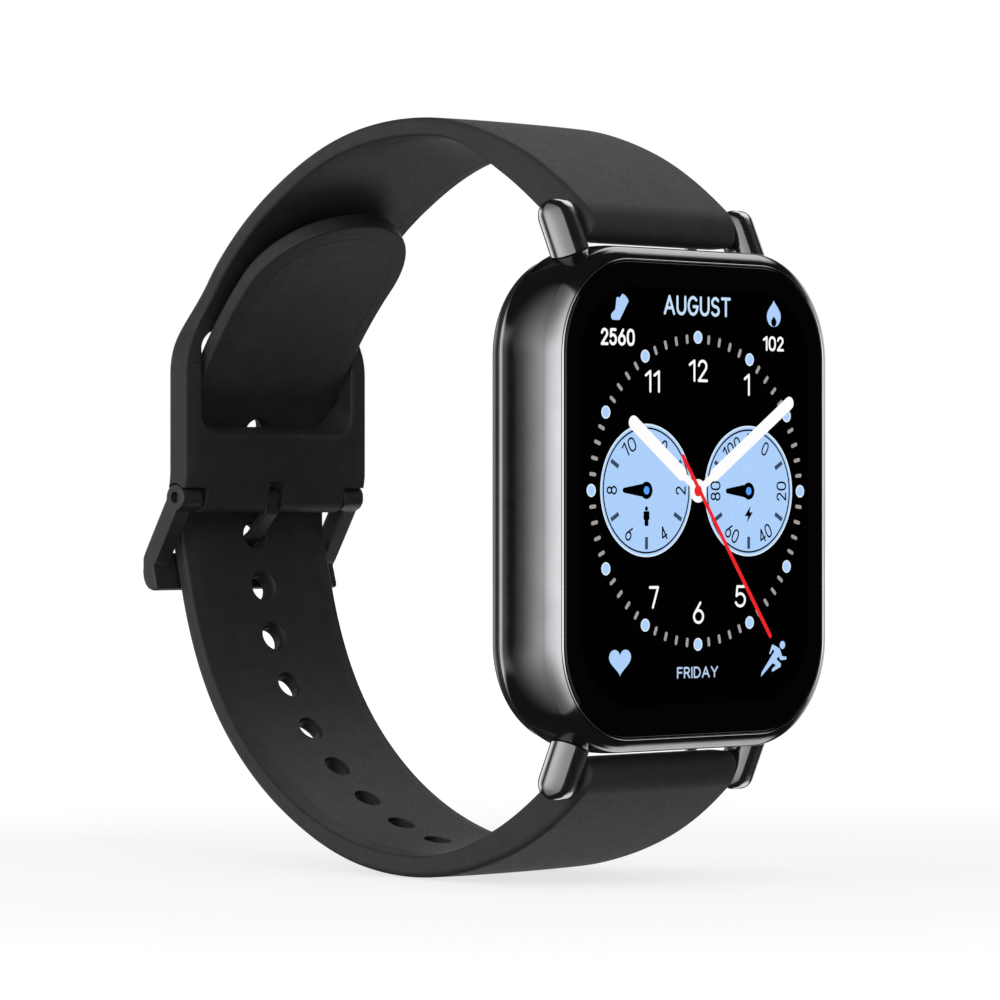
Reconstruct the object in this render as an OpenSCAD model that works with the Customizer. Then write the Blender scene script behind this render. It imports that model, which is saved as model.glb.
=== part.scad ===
// Smartwatch with a rounded rectangular case and a tuck-in sport strap.
// The origin is the middle of the flat sensor window on the back of the case.
// +Z points to 12 o'clock, +X to 3 o'clock, and the display faces -Y.

/* [Case] */
// Width of the case, across the 3 and 9 o'clock sides
body_w = 40.3; // [36:0.1:48]
// Height of the case, along 12 to 6 o'clock
body_h = 49.5; // [44:0.1:60]
// Radius of the case corners
corner_r = 10.75; // [9.5:0.05:12.5]
// Thickness from the glass to the sensor window
body_t = 11.2; // [11:0.1:14]
// Thickness of the cover glass
glass_t = 1.0; // [0.8:0.1:1.4]
// Wall of the metal frame
wall = 1.9; // [1.6:0.1:2.2]
// Metal border that shows round the glass
bezel = 1.55; // [1.2:0.05:1.8]

/* [Strap] */
// Width of the strap at the lugs
strap_w = 21.8; // [18:0.1:26.2]
// Thickness of the strap
strap_t = 2.2; // [1.8:0.1:2.6]
// Outer radius of the closed loop
loop_r = 38.5; // [32:0.5:46.5]
// Spacing of the strap holes
hole_pitch = 5.8; // [4.8:0.1:7]
// Radius of the strap holes
hole_r = 1.5; // [1.4:0.05:1.8]

/* [Lugs and spring bars] */
// Width of one lug
lug_w = 3.3; // [2.7:0.1:4]
// Depth of one lug
lug_d = 3.24; // [2.7:0.02:3.9]
// Lean of the lugs towards the wrist, in degrees
lug_lean = 24.6; // [20:0.1:30]
// Outer radius of the spring bar tube
bar_r = 0.75; // [0.63:0.01:0.9]

/* [Buckle] */
// Radius of the buckle pin
pin_r = 0.6; // [0.5:0.01:0.72]
// Outer radius of the buckle knuckles
knuckle_r = 1.4; // [1.2:0.05:1.7]
// Width of the buckle prong
prong_w = 1.8; // [1.5:0.1:2.2]

/* [Button and motor] */
// Length of the side button
button_l = 9.6; // [8:0.1:11.6]
// Travel of the side button
button_travel = 0.35; // [0.29:0.01:0.42]
// Radius of the vibration motor
motor_r = 4.2; // [3.5:0.1:5]

/* [Hidden] */
$fn = 64;

// Clearances: a running fit, a fixed fit and the play between loose neighbours
run = 0.05;
seat = 0.02;
play = 0.2;

// Levels of the case, measured from the sensor window towards the glass
back_level = 1.3;
floor_level = 2.5;
cover_level = 3.1;
seal_t = 0.2;
frame_level = cover_level + seal_t;
glass_level = body_t - glass_t;
ledge_top = glass_level - 0.15;
ledge_bottom = ledge_top - 1.15;
plate_t = 0.8;
plate_level = ledge_bottom - plate_t;
panel_t = 1.0;
panel_level = glass_level - panel_t;
shield_t = 0.25;

// Distances out from the corner axis of the case
inner_r = corner_r - wall;
glass_r = corner_r - bezel;
rim_r = glass_r + 0.25;
ledge_r = inner_r - 1.55;
seam_r = corner_r - 0.7;
half_x = body_w / 2 - corner_r;
half_y = body_h / 2 - corner_r;
inner_x = half_x + inner_r;
edge_low = 0.7;
edge_high = 1.4;
flank_bow = 26;

// Spring bar axis, in the row frame: Y is bar_y, Z is plus or minus bar_z
bar_z = body_h / 2 + 2.7;
bar_y = -(body_t - 6.9);
bar_bore = bar_r + run;
bar_inner_r = bar_r - 0.2;
tip_r = 0.4;
tip_reach = 0.95;
barrel_r = 2.1;
swell_l = 22;
lug_gap = strap_w / 2 + 0.25;
lug_x = lug_gap + lug_w / 2;
lug_bore_l = 1.3;

// Spring bar lengths along X
tube_end = strap_w / 2 - 0.3;
tip_end = lug_gap + tip_reach;
shank_r = bar_inner_r - run;
plunger_start = tube_end - 3.7;
spring_start = plunger_start - 4;
knob_x = tube_end - 2.3;
release_travel = 1.3;
knob_r = 0.4;

// Loop of the upper strap half: centre of its arc, and the clasp behind it
strap_w_mid = strap_w - 0.2;
loop_z = -0.5;
loop_mid_r = loop_r - strap_t / 2;
loop_y = bar_y + sqrt(pow(loop_r - barrel_r, 2) - pow(bar_z - loop_z, 2));
kink_angle = 33.2;
kink_r = 8;
upper_start_angle = atan2(bar_z - loop_z, bar_y - loop_y) - 1.8;
clasp_t = strap_t + 1;
clasp_w = strap_w + 3.7;
clasp_y = loop_y + loop_mid_r * cos(kink_angle) + kink_r * (1 - cos(kink_angle));
clasp_out = clasp_y + clasp_t / 2;
pin_z = 0.3;
pin_y = clasp_y + 0.35;
clasp_barrel_r = clasp_t / 2;
slot_low = 6.8;
slot_high = 18.6;
slot_corner_r = 2;
taper_z = [13.5, 22.5];

// Loop of the lower strap half
tail_w = strap_w - 1.2;
slot_w = tail_w + 0.9;
lower_r = loop_r - 3.35;
lower_z = -1.35;
lower_y = bar_y + sqrt(pow(lower_r, 2) - pow(bar_z + lower_z, 2));
lower_start_angle = atan2(-bar_z - lower_z, bar_y - lower_y);
flare = 14.7;
flare_r = 10;
tail_gap = 0.7;
tail_y = clasp_out + tail_gap + strap_t / 2;
flare_l = (tail_y - flare_r * (1 - cos(flare)) - lower_y - lower_r * cos(flare)) / sin(flare);
flare_end_z = lower_z - lower_r * sin(flare) + flare_l * cos(flare) + flare_r * sin(flare);
tuck = 34;
tuck_r = 13;
tuck_start_z = slot_low - 3.45;
tail_curve = 23;
tail_curve_l = 20;
upright_l = tuck_start_z - flare_end_z;
tail_taper_y = 25;
flare_start_z = flare_end_z - flare_r * sin(flare);
holes_above = 2;
holes_below = 8;
prong_hole_z = -3.9;

// Paths as a start [Y, Z, heading] and steps of [length, turn]
function arc_l(r, turn) = r * abs(turn) * PI / 180;
upper_start = [
    loop_y + loop_mid_r * cos(upper_start_angle), loop_z + loop_mid_r * sin(upper_start_angle),
    upper_start_angle - 90
];
upper_turn = upper_start_angle - kink_angle;
upper_steps = [
    [arc_l(loop_mid_r, upper_turn), -upper_turn],
    [arc_l(kink_r, kink_angle), -kink_angle],
    [loop_z + (loop_mid_r - kink_r) * sin(kink_angle) - pin_z, 0]
];
lower_start = [bar_y, -bar_z, lower_start_angle + 90];
lower_turn = -flare - lower_start_angle;
lower_steps = [
    [arc_l(lower_r, lower_turn), lower_turn],
    [flare_l, 0],
    [arc_l(flare_r, flare), flare],
    [upright_l, 0],
    [arc_l(tuck_r, tuck), tuck],
    [5.5, 0],
    [tail_curve_l, tail_curve]
];

// Y of the lower strap's outer face beside the buckle, at a height z
function strap_face(z) = tail_y + strap_t / 2 / cos(flare) - (z > flare_end_z ? 0
    : z > flare_start_z ? flare_r - sqrt(pow(flare_r, 2) - pow(flare_end_z - z, 2))
    : flare_r * (1 - cos(flare)) + (flare_start_z - z) * tan(flare));
prong_hole_s = path_length(lower_steps, 3) - (flare_end_z - prong_hole_z);

function path_length(steps, n) = n == 0 ? 0 : steps[n - 1][0] + path_length(steps, n - 1);
function advance(q, s) = s[1] == 0
    ? [q[0] + s[0] * cos(q[2]), q[1] + s[0] * sin(q[2]), q[2]]
    : let (r = s[0] / (s[1] * PI / 180), h = q[2] + s[1])
        [q[0] + r * (sin(h) - sin(q[2])), q[1] - r * (cos(h) - cos(q[2])), h];
function pose_at(q, steps, d, i = 0) = i == len(steps) - 1 || d <= steps[i][0]
    ? advance(q, [d, steps[i][1] * d / steps[i][0]])
    : pose_at(advance(q, steps[i]), steps, d - steps[i][0], i + 1);
function beside(q, d) = [q[0] - d * sin(q[2]), q[1] + d * cos(q[2])];
function ease(a, b, t) = a + (b - a) * (1 - cos(180 * max(0, min(1, t)))) / 2;

// Outline of a band along a path; left and right list its two half thicknesses at each distance
function band_outline(q, steps, at, left, right) = concat(
    [for (i = [0:len(at) - 1]) beside(pose_at(q, steps, at[i]), left[i])],
    [for (i = [len(at) - 1:-1:0]) beside(pose_at(q, steps, at[i]), -right[i])]
);
function stations(total, n) = [for (i = [0:n]) total * i / n];

// Puts parts that are drawn flat, with the glass up, into the row frame
module upright() {
    rotate([90, 0, 0]) children();
}

// Extrudes a side view, drawn in Y and Z, across X
module across(w) {
    rotate([90, 0, 90]) linear_extrude(w, center = true) children();
}

// Repeats children at the four corners of a rectangle
module corners(x, y) {
    for (sx = [-1, 1], sy = [-1, 1]) translate([sx * x, sy * y, 0]) children();
}

// Rounded rectangle set out by how far it reaches from the case's corner axes
module outline(reach) {
    square([2 * (half_x + reach), 2 * half_y], center = true);
    square([2 * half_x, 2 * (half_y + reach)], center = true);
    corners(half_x, half_y) circle(r = reach);
}

// Plate of that outline
module plate(reach, from, to) {
    translate([0, 0, from]) linear_extrude(to - from) outline(reach);
}

// Sweeps a profile round the case; its X is the distance from the corner axes, its Y the level
module sweep_round() {
    for (i = [0:3]) rotate(90 * i) {
        a = i % 2 == 0 ? half_x : half_y;
        b = i % 2 == 0 ? half_y : half_x;
        translate([a, b, 0]) rotate_extrude(angle = 90) children();
        translate([a, 0, 0]) rotate([90, 0, 0]) linear_extrude(2 * b, center = true) children();
    }
}

// Outer edge of the frame from the seam up to the rim
function flank(z) = corner_r - pow(z - (frame_level + body_t) / 2, 2) / (2 * flank_bow);
flank_low = frame_level + edge_low;
flank_high = body_t - 0.1 - edge_high;
function frame_edge(grow) = concat(
    [[seam_r + grow, frame_level], [flank(flank_low) - 0.15 + grow, frame_level + 0.25]],
    [for (i = [0:6]) let (z = flank_low + (flank_high - flank_low) * i / 6) [flank(z) + grow, z]],
    [for (a = [22.5:22.5:67.5]) [
        flank(flank_high) - (flank(flank_high) - rim_r) * (1 - cos(a)) + grow, flank_high + edge_high * sin(a)
    ]],
    [[rim_r + grow, body_t - 0.1]]
);

// Outline that is symmetric about the middle, from a list of [width, place along it]
module both_edges(list) {
    polygon(concat(
        [for (p = list) [p[0] / 2, p[1]]],
        [for (i = [len(list) - 1:-1:0]) [-list[i][0] / 2, list[i][1]]]
    ));
}

// Stadium of a given length and radius, along Y
module pill(l, r) {
    square([2 * r, l - 2 * r], center = true);
    for (s = [-1, 1]) translate([0, s * (l / 2 - r)]) circle(r = r);
}

// Puts a pill shape on the right flank, extruded outwards from x0 to x1
button_level = (frame_level + ledge_bottom) / 2 - 0.1;
module on_flank(x0, x1, y, z) {
    translate([x0, y, z]) rotate([0, 90, 0]) linear_extrude(x1 - x0) children();
}

button_r = 1.2;
button_proud = 0.5;
stem_end = inner_x - 1.3;
speaker_y = -11.2;
speaker_hole_r = 0.4;
speaker_holes = 5;
speaker_pitch = 1.5;
mic_y = 9.5;
mic_hole_r = 0.3;
screw_r = 0.5;
screw_head_r = 0.8;
screw_reach = ledge_r + 0.65;
screw_x = half_x + screw_reach * cos(45);
screw_y = half_y + screw_reach * sin(45);
stud_r = 0.9;
stud_l = 2;

// A lug's own axes: children are drawn with Z along the lug, from the spring bar towards the case
module lug_axes(sx, sy) {
    mirror([sx > 0 ? 0 : 1, 0, 0]) mirror([0, sy > 0 ? 0 : 1, 0])
        translate([lug_x, bar_z, -bar_y]) rotate([90 - lug_lean, 0, 0]) children();
}

module case_frame() {
    color([0.13, 0.13, 0.14]) upright() difference() {
        sweep_round() polygon(concat(
            [[inner_r, frame_level]], frame_edge(0),
            [
                [glass_r + seat, body_t - 0.1], [glass_r + seat, ledge_top], [ledge_r, ledge_top],
                [ledge_r, ledge_bottom], [inner_r, ledge_bottom]
            ]
        ));
        for (sx = [-1, 1], sy = [-1, 1])
            lug_axes(sx, sy) cylinder(r = stud_r + seat, h = lug_stud_end());
        on_flank(inner_x - 1, inner_x + wall + 1, 0, button_level) pill(button_l + 2 * play, button_r + play);
        for (i = [0:speaker_holes - 1])
            on_flank(
                inner_x - 1, inner_x + wall + 1,
                speaker_y + (i - (speaker_holes - 1) / 2) * speaker_pitch, button_level
            ) circle(r = speaker_hole_r);
        on_flank(inner_x - 1, inner_x + wall + 1, mic_y, button_level) circle(r = mic_hole_r);
        corners(screw_x, screw_y) translate([0, 0, ledge_bottom - 1]) cylinder(r = screw_r + seat, h = 1.9);
    }
}

// Length of the lug stud, from the spring bar axis to inside the frame's wall
function lug_stud_end() = (bar_z - half_y - (corner_r - wall)) / cos(lug_lean) - 0.5;

module frame_side() {
    polygon(concat([[0, frame_level]], frame_edge(seat), [[0, body_t - 0.1]]));
}

module lug(sx, sy) {
    color([0.2, 0.2, 0.21]) upright() {
        difference() {
            lug_axes(sx, sy) intersection() {
                rotate([0, 0, 90]) rotate([90, 0, 0]) linear_extrude(lug_w, center = true) {
                    circle(r = lug_d / 2);
                    translate([-lug_d / 2, 0]) square([lug_d, 9]);
                }
                translate([0, 0, -lug_d]) linear_extrude(9 + lug_d) rounded_square(lug_w, lug_d, 0.9);
            }
            mirror([sx > 0 ? 0 : 1, 0, 0]) mirror([0, sy > 0 ? 0 : 1, 0]) {
                translate([half_x, half_y, 0]) rotate_extrude(angle = 90) frame_side();
                translate([0, half_y, 0]) rotate([90, 0, 90]) linear_extrude(half_x) frame_side();
                translate([lug_gap - 1, bar_z, -bar_y]) rotate([0, 90, 0])
                    cylinder(r = tip_r + run, h = 1 + lug_bore_l);
            }
        }
        intersection() {
            lug_axes(sx, sy) translate([0, 0, lug_d / 2])
                cylinder(r = stud_r, h = lug_stud_end() - lug_d / 2 - run);
            mirror([sx > 0 ? 0 : 1, 0, 0]) mirror([0, sy > 0 ? 0 : 1, 0])
                translate([0, half_y, 0]) cube([body_w, body_h, body_t]);
        }
    }
}

module rounded_square(w, d, r) {
    square([w - 2 * r, d], center = true);
    square([w, d - 2 * r], center = true);
    corners(w / 2 - r, d / 2 - r) circle(r = r);
}

module cover_glass() {
    color([0.02, 0.02, 0.02, 0.5]) upright() {
        plate(glass_r, glass_level, body_t - 0.25);
        plate(glass_r - 0.12, body_t - 0.25, body_t);
    }
}

module glass_seal() {
    color("black") upright() difference() {
        plate(glass_r - 0.1, ledge_top, glass_level);
        plate(ledge_r + 0.1, ledge_top - 1, glass_level + 1);
    }
}

module display_panel() {
    color([0.03, 0.03, 0.05]) upright() plate(ledge_r - play, panel_level, glass_level);
}

flex_y = 17;
flex_w = 6;
flex_t = 0.15;
board_level = plate_level - 1.2;
board_t = 0.7;

module flex_slot(from, to) {
    translate([-flex_w / 2 - play, flex_y - play, from])
        cube([flex_w + 2 * play, flex_t + 2 * play, to - from]);
}

module display_shield() {
    color("silver") upright() difference() {
        plate(ledge_r - 0.5, panel_level - shield_t, panel_level);
        flex_slot(panel_level - 1, panel_level + 1);
    }
}

module display_flex() {
    color("orange") upright() {
        translate([-flex_w / 2, flex_y, board_level + board_t])
            cube([flex_w, flex_t, panel_level - board_level - board_t]);
        translate([-flex_w / 2, flex_y, board_level + board_t]) cube([flex_w, 2, flex_t]);
    }
}

battery_size = [21, 22.4, 3.7];
battery_at = [-3.4, -7.5];
board_size = [20, 14.4];
board_at = [4.4, 12.2];
motor_at = [-11.6, 11.5];
motor_t = 3;
can_t = 0.25;
speaker_size = [7, 10.4, 3.4];

// Plain box centred on X and Y whose top or bottom is at a level
module block(size, at, level) {
    translate([at[0] - size[0] / 2, at[1] - size[1] / 2, level]) cube(size);
}

module chassis() {
    color([0.25, 0.25, 0.27]) upright() {
        difference() {
            plate(inner_r - play, plate_level, ledge_bottom);
            flex_slot(plate_level - 1, ledge_bottom + 1);
            corners(screw_x, screw_y) translate([0, 0, plate_level - 1]) cylinder(r = screw_r + play, h = 3);
        }
        difference() {
            intersection() {
                block([battery_size[0] + 2, battery_size[1] + 2, 2.5], battery_at, plate_level - 2.5);
                plate(inner_r - play, 0, body_t);
            }
            block([battery_size[0] + 2 * play, battery_size[1] + 2 * play, 5], battery_at, plate_level - 4);
            corners(screw_x, screw_y)
                translate([0, 0, plate_level - 3]) cylinder(r = screw_head_r + play, h = 3);
        }
        for (sx = [-1, 1], sy = [-1, 1])
            translate([
                board_at[0] + sx * (board_size[0] / 2 - 1.5),
                board_at[1] + sy * (board_size[1] / 2 - 1.5),
                board_level + board_t
            ]) cylinder(r = 0.8, h = plate_level - board_level - board_t);
        block([0.8, 4.4, plate_level - button_level + 1.2], [stem_end - 2.2, 0], button_level - 1.2);
    }
}

module chassis_screws() {
    color("gainsboro") upright() corners(screw_x, screw_y) {
        translate([0, 0, plate_level - 0.45]) cylinder(r = screw_head_r, h = 0.45);
        translate([0, 0, plate_level]) cylinder(r = screw_r, h = ledge_bottom - plate_level + 0.85);
    }
}

module main_board() {
    color([0.05, 0.3, 0.15]) upright() block([board_size[0], board_size[1], board_t], board_at, board_level);
}

module board_shields() {
    color("silver") upright() for (s = [-1, 1]) difference() {
        block([9, 12, 1.4], [board_at[0] + s * 5, board_at[1]], board_level - 1.4);
        block([8.6, 11.6, 1.4], [board_at[0] + s * 5, board_at[1]], board_level - 1.2);
    }
}

module battery() {
    color([0.3, 0.3, 0.33]) upright() block(battery_size, battery_at, plate_level - battery_size[2]);
}

module motor_can() {
    color("silver") upright() translate([motor_at[0], motor_at[1], plate_level - motor_t]) {
        difference() {
            cylinder(r = motor_r, h = motor_t);
            translate([0, 0, can_t]) cylinder(r = motor_r - can_t, h = motor_t - 2 * can_t);
        }
        cylinder(r = 0.4, h = motor_t);
    }
}

module motor_weight() {
    color("dimgray") upright() translate([motor_at[0], motor_at[1], plate_level - motor_t + can_t + play])
        difference() {
            union() {
                cylinder(r = 1.1, h = motor_t - 2 * (can_t + play));
                intersection() {
                    cylinder(r = motor_r - can_t - play, h = motor_t - 2 * (can_t + play));
                    translate([-motor_r, -motor_r, 0]) cube([2 * motor_r, motor_r, motor_t]);
                }
            }
            translate([0, 0, -1]) cylinder(r = 0.4 + run, h = motor_t + 2);
        }
}

module speaker() {
    color([0.1, 0.1, 0.1]) upright()
        block(speaker_size, [inner_x - 0.6 - speaker_size[0] / 2, speaker_y], plate_level - speaker_size[2]);
}

module speaker_mesh() {
    color("gray") upright() on_flank(inner_x - 0.3, inner_x - run, speaker_y, button_level) pill(7, 0.8);
}

module microphone() {
    color("gold") upright() block([1.6, 2.6, plate_level - button_level + 0.8], [inner_x - 0.9, mic_y],
        button_level - 0.8);
}

module side_button() {
    color([0.15, 0.15, 0.16]) upright() {
        on_flank(inner_x - run, inner_x + wall + button_proud - 0.2, 0, button_level)
            pill(button_l, button_r);
        on_flank(inner_x + wall + button_proud - 0.2, inner_x + wall + button_proud, 0, button_level)
            pill(button_l - 0.3, button_r - 0.15);
        on_flank(inner_x - 0.5, inner_x - run, 0, button_level) pill(button_l + 1.2, button_r + 0.45);
        on_flank(stem_end, inner_x - 0.5, 0, button_level) circle(r = 0.6);
    }
}

module button_switch() {
    color("gold") upright() {
        block([1.2, 3.2, 2], [stem_end - 1.2, 0], button_level - 1);
        on_flank(stem_end - 0.6, stem_end - button_travel - run, 0, button_level) circle(r = 0.7);
    }
}

window_r = 10.5;
island_r = 13.5;
island_level = 0.4;
window_t = 1.1;
pin_pad_r = 1.1;
charge_x = 2.6;
charge_y = -16.2;
magnet_x = 7.6;
magnet_r = 2;
lip_r = inner_r - 0.15;

module back_cover() {
    color([0.12, 0.12, 0.13]) upright() difference() {
        union() {
            sweep_round() polygon(concat(
                [[lip_r - 0.7, cover_level + 0.9], [lip_r - 0.7, floor_level]],
                [[0, floor_level], [0, back_level]],
                [for (a = [-90:18:0]) [
                    seam_r - 1.6 + 1.6 * cos(a),
                    cover_level - 0.2 + (cover_level - 0.2 - back_level) * sin(a)
                ]],
                [[seam_r, cover_level], [lip_r, cover_level], [lip_r, cover_level + 0.9]]
            ));
            translate([-half_x, -half_y, back_level])
                cube([2 * half_x, 2 * half_y, floor_level - back_level]);
            translate([0, 0, island_level])
                cylinder(r1 = island_r - 0.9, r2 = island_r, h = back_level - island_level);
        }
        translate([0, 0, -1]) cylinder(r = window_r + run, h = 1 + island_level + window_t);
        cylinder(r = window_r - 2, h = body_t);
        for (s = [-1, 1]) translate([s * charge_x, charge_y, 0]) {
            cylinder(r = pin_pad_r + seat, h = back_level + 0.5);
            cylinder(r = 0.7 + seat, h = body_t);
        }
    }
}

module back_seal() {
    color("black") upright() difference() {
        plate(seam_r - 0.2, cover_level, frame_level);
        plate(lip_r + 0.1, cover_level - 1, frame_level + 1);
    }
}

module sensor_window() {
    color([0.05, 0.05, 0.06]) upright() {
        cylinder(r1 = window_r - 0.5, r2 = window_r, h = island_level);
        translate([0, 0, island_level]) cylinder(r = window_r, h = window_t);
    }
}

module sensor_board() {
    color([0.05, 0.3, 0.15]) upright() translate([0, 0, floor_level]) cylinder(r = window_r - 1.2, h = 0.6);
}

led_r = 3.2;
module sensor_leds() {
    color("lime") upright() for (a = [0:120:240])
        rotate(a) block([1.6, 1.2, 0.5], [led_r, 0], floor_level - 0.5);
}

module photodiodes() {
    color([0.1, 0.1, 0.15]) upright() for (a = [45:90:315])
        rotate(a) block([2.4, 2.4, 0.5], [5.2, 0], floor_level - 0.5);
}

module charging_pins() {
    color("gold") upright() for (s = [-1, 1]) translate([s * charge_x, charge_y, 0]) {
        translate([0, 0, back_level - 0.05]) cylinder(r = pin_pad_r, h = 0.55);
        translate([0, 0, back_level + 0.5]) cylinder(r = 0.7, h = 1.4);
    }
}

module charging_magnets() {
    color("silver") upright() for (s = [-1, 1])
        translate([s * magnet_x, charge_y, floor_level]) cylinder(r = magnet_r, h = 1.2);
}

// Spring bar parts are drawn along X about their own axis, and placed at the bar of one strap half
module at_bar(sz) {
    translate([0, bar_y, sz * bar_z]) children();
}

// Turns children drawn along Z so that they point from the bar to the wrist side of the strap
module wristward(sz) {
    rotate([sz > 0 ? -180 + knob_lean : -knob_lean, 0, 0]) children();
}
knob_lean = 40;

module along_x(from, to, r) {
    translate([from, 0, 0]) rotate([0, 90, 0]) cylinder(r = r, h = to - from);
}

module bar_tube(sz) {
    color("silver") at_bar(sz) difference() {
        along_x(-tube_end, tube_end, bar_r);
        along_x(-tube_end - 1, tube_end + 1, bar_inner_r);
        wristward(sz) translate([knob_x - release_travel - knob_r - run, -knob_r - run, 0])
            cube([release_travel + 2 * (knob_r + run), 2 * (knob_r + run), 3]);
    }
}

module bar_tip(sz) {
    color("gainsboro") at_bar(sz) {
        along_x(-tube_end, spring_start, shank_r);
        along_x(-tip_end, -tube_end, tip_r);
    }
}

module release_pin(sz) {
    color("gainsboro") at_bar(sz) {
        along_x(plunger_start, tube_end, shank_r);
        along_x(tube_end, tip_end, tip_r);
        wristward(sz) translate([knob_x, 0, 0]) {
            cylinder(r = knob_r, h = barrel_r + 0.4);
            translate([0, 0, barrel_r + 0.4]) cylinder(r = knob_r + 0.25, h = 0.5);
        }
    }
}

spring_turns = 6;
spring_wire = 0.08;
spring_sides = 6;
spring_rings_per_turn = 10;
spring_rings = spring_turns * spring_rings_per_turn;
spring_mean_r = shank_r - spring_wire;

module bar_spring(sz) {
    coil_start = spring_start + spring_wire;
    coil_l = plunger_start - spring_start - 2 * spring_wire;
    n = spring_sides;
    points = [
        for (i = [0:spring_rings], j = [0:n - 1]) let (
            a = 360 * i / spring_rings_per_turn,
            b = 360 * j / n,
            r = spring_mean_r + spring_wire * cos(b)
        ) [coil_start + coil_l * i / spring_rings + spring_wire * sin(b), r * cos(a), r * sin(a)]
    ];
    faces = concat(
        [[for (j = [0:n - 1]) j]],
        [for (i = [0:spring_rings - 1], j = [0:n - 1]) let (k = (j + 1) % n, m = i * n)
            [m + j, m + n + j, m + n + k, m + k]],
        [[for (j = [n - 1:-1:0]) spring_rings * n + j]]
    );
    color("silver") at_bar(sz) polyhedron(points, faces);
}

// Cuts in a strap's end for the spring bar and its release knob
module bar_cuts(sz) {
    at_bar(sz) {
        along_x(-strap_w, strap_w, bar_bore);
        wristward(sz) translate([knob_x - release_travel - knob_r - 0.6, -knob_r - 0.6, 0])
            cube([release_travel + 2 * (knob_r + 0.6), 2 * (knob_r + 0.6), 5]);
    }
}

module strap_upper() {
    total = path_length(upper_steps, 3);
    clasp_from = path_length(upper_steps, 1);
    at = stations(total, 44);
    outer = [for (d = at) ease(strap_t / 2, clasp_t / 2, (d - clasp_from) / 5)];
    inner = [for (d = at) d < clasp_from
        ? ease(loop_mid_r - loop_r + 2 * barrel_r, strap_t / 2, (d + 1.2) / swell_l)
        : ease(strap_t / 2, clasp_t / 2, (d - clasp_from) / 5)];
    color([0.16, 0.16, 0.17]) difference() {
        intersection() {
            union() {
                across(clasp_w + 2) {
                    polygon(band_outline(upper_start, upper_steps, at, outer, inner));
                    translate([bar_y, bar_z]) circle(r = barrel_r);
                }
                across(2 * knuckle_in) translate([pin_y, pin_z]) circle(r = clasp_barrel_r);
            }
            translate([0, 200, 0]) rotate([90, 0, 0]) linear_extrude(400)
                both_edges([
                    [clasp_w, -20], [clasp_w, taper_z[0]], [strap_w_mid, taper_z[1]], [strap_w_mid, 100]
                ]);
        }
        bar_cuts(1);
        translate([0, pin_y, pin_z]) along_x(-clasp_w, clasp_w, pin_r + run);
        translate([0, clasp_y - 10, (slot_low + slot_high) / 2]) rotate([-90, 0, 0])
            linear_extrude(20) rounded_square(slot_w, slot_high - slot_low, slot_corner_r);
        prong_notch();
        for (s = [-1, 1]) knuckle_cut(s);
    }
}

notch_w = prong_w + 0.5;
notch_top = pin_z + 1.7;
knuckle_l = 2.85;
knuckle_in = clasp_w / 2 - knuckle_l;

module prong_notch() {
    translate([-notch_w / 2, pin_y - 5, pin_z - 5]) cube([notch_w, 10, notch_top - pin_z + 5]);
}

module knuckle_cut(s) {
    from = s > 0 ? knuckle_in - 0.1 : -clasp_w;
    to = s > 0 ? clasp_w : 0.1 - knuckle_in;
    translate([0, pin_y, pin_z]) along_x(from, to, knuckle_r + 0.15);
    translate([from, pin_y - 5, pin_z - 5]) cube([to - from, 10, 5 + 1.05]);
}

module strap_lower() {
    total = path_length(lower_steps, len(lower_steps));
    bow = lower_steps[0][0];
    at = concat(
        [-barrel_r / 2],
        [for (i = [1:36]) bow * i / 36],
        [for (i = [1:22]) bow + (total - bow) * i / 22]
    );
    half = [for (d = at) d < 0 ? barrel_r - 0.4 : ease(barrel_r - 0.05, strap_t / 2, d / swell_l)];
    tip = pose_at(lower_start, lower_steps, total - tail_w / 2);
    color([0.16, 0.16, 0.17]) difference() {
        intersection() {
            union() {
                across(strap_w + 2) polygon(band_outline(lower_start, lower_steps, at, half, half));
                across(strap_w + 2) translate([bar_y, -bar_z]) circle(r = barrel_r);
            }
            translate([0, 0, -100]) linear_extrude(200)
                both_edges([[strap_w, -50], [strap_w, 0], [tail_w, tail_taper_y], [tail_w, 200]]);
        }
        bar_cuts(-1);
        translate([0, tip[0], tip[1]]) rotate([tip[2], 0, 0]) difference() {
            translate([-strap_w, 0, -10]) cube([2 * strap_w, strap_w, 20]);
            cylinder(r = tail_w / 2, h = 30, center = true);
        }
        for (i = [-holes_below:holes_above]) strap_hole(prong_hole_s + i * hole_pitch);
    }
}

module strap_hole(d) {
    q = pose_at(lower_start, lower_steps, d);
    translate([0, q[0], q[1]]) rotate([q[2], 0, 0]) cylinder(r = hole_r, h = 3 * strap_t, center = true);
}

// Buckle, drawn in Y and Z about the pin
bar_low = -9.9;
bar_high = -5.9;
bar_gap = 0.3;
crossbar_t = 0.95;
bar_in_high = strap_face(pin_z + bar_high) + bar_gap - pin_y;
bar_in_low = strap_face(pin_z + bar_low) + bar_gap - pin_y;
bar_out = bar_in_high + crossbar_t;
prong_t = 0.85;

module thick_line(a, b, t) {
    d = b - a;
    translate(a) rotate(atan2(d[1], d[0])) translate([0, -t / 2]) square([norm(d), t]);
    translate(a) circle(r = t / 2);
    translate(b) circle(r = t / 2);
}

module buckle_side() {
    thick_line([0, 0], [bar_out - 1, bar_high - 0.4], 2 * knuckle_r - 0.8);
    circle(r = knuckle_r);
    crossbar_side();
}

module crossbar_side() {
    polygon([
        [bar_in_high, bar_high], [bar_out - 0.3, bar_high], [bar_out, bar_high - 0.4],
        [bar_out - 0.15, bar_low + 0.5], [bar_out - 0.6, bar_low],
        [bar_in_low + 0.3, bar_low], [bar_in_low, bar_low + 0.3]
    ]);
}

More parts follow.
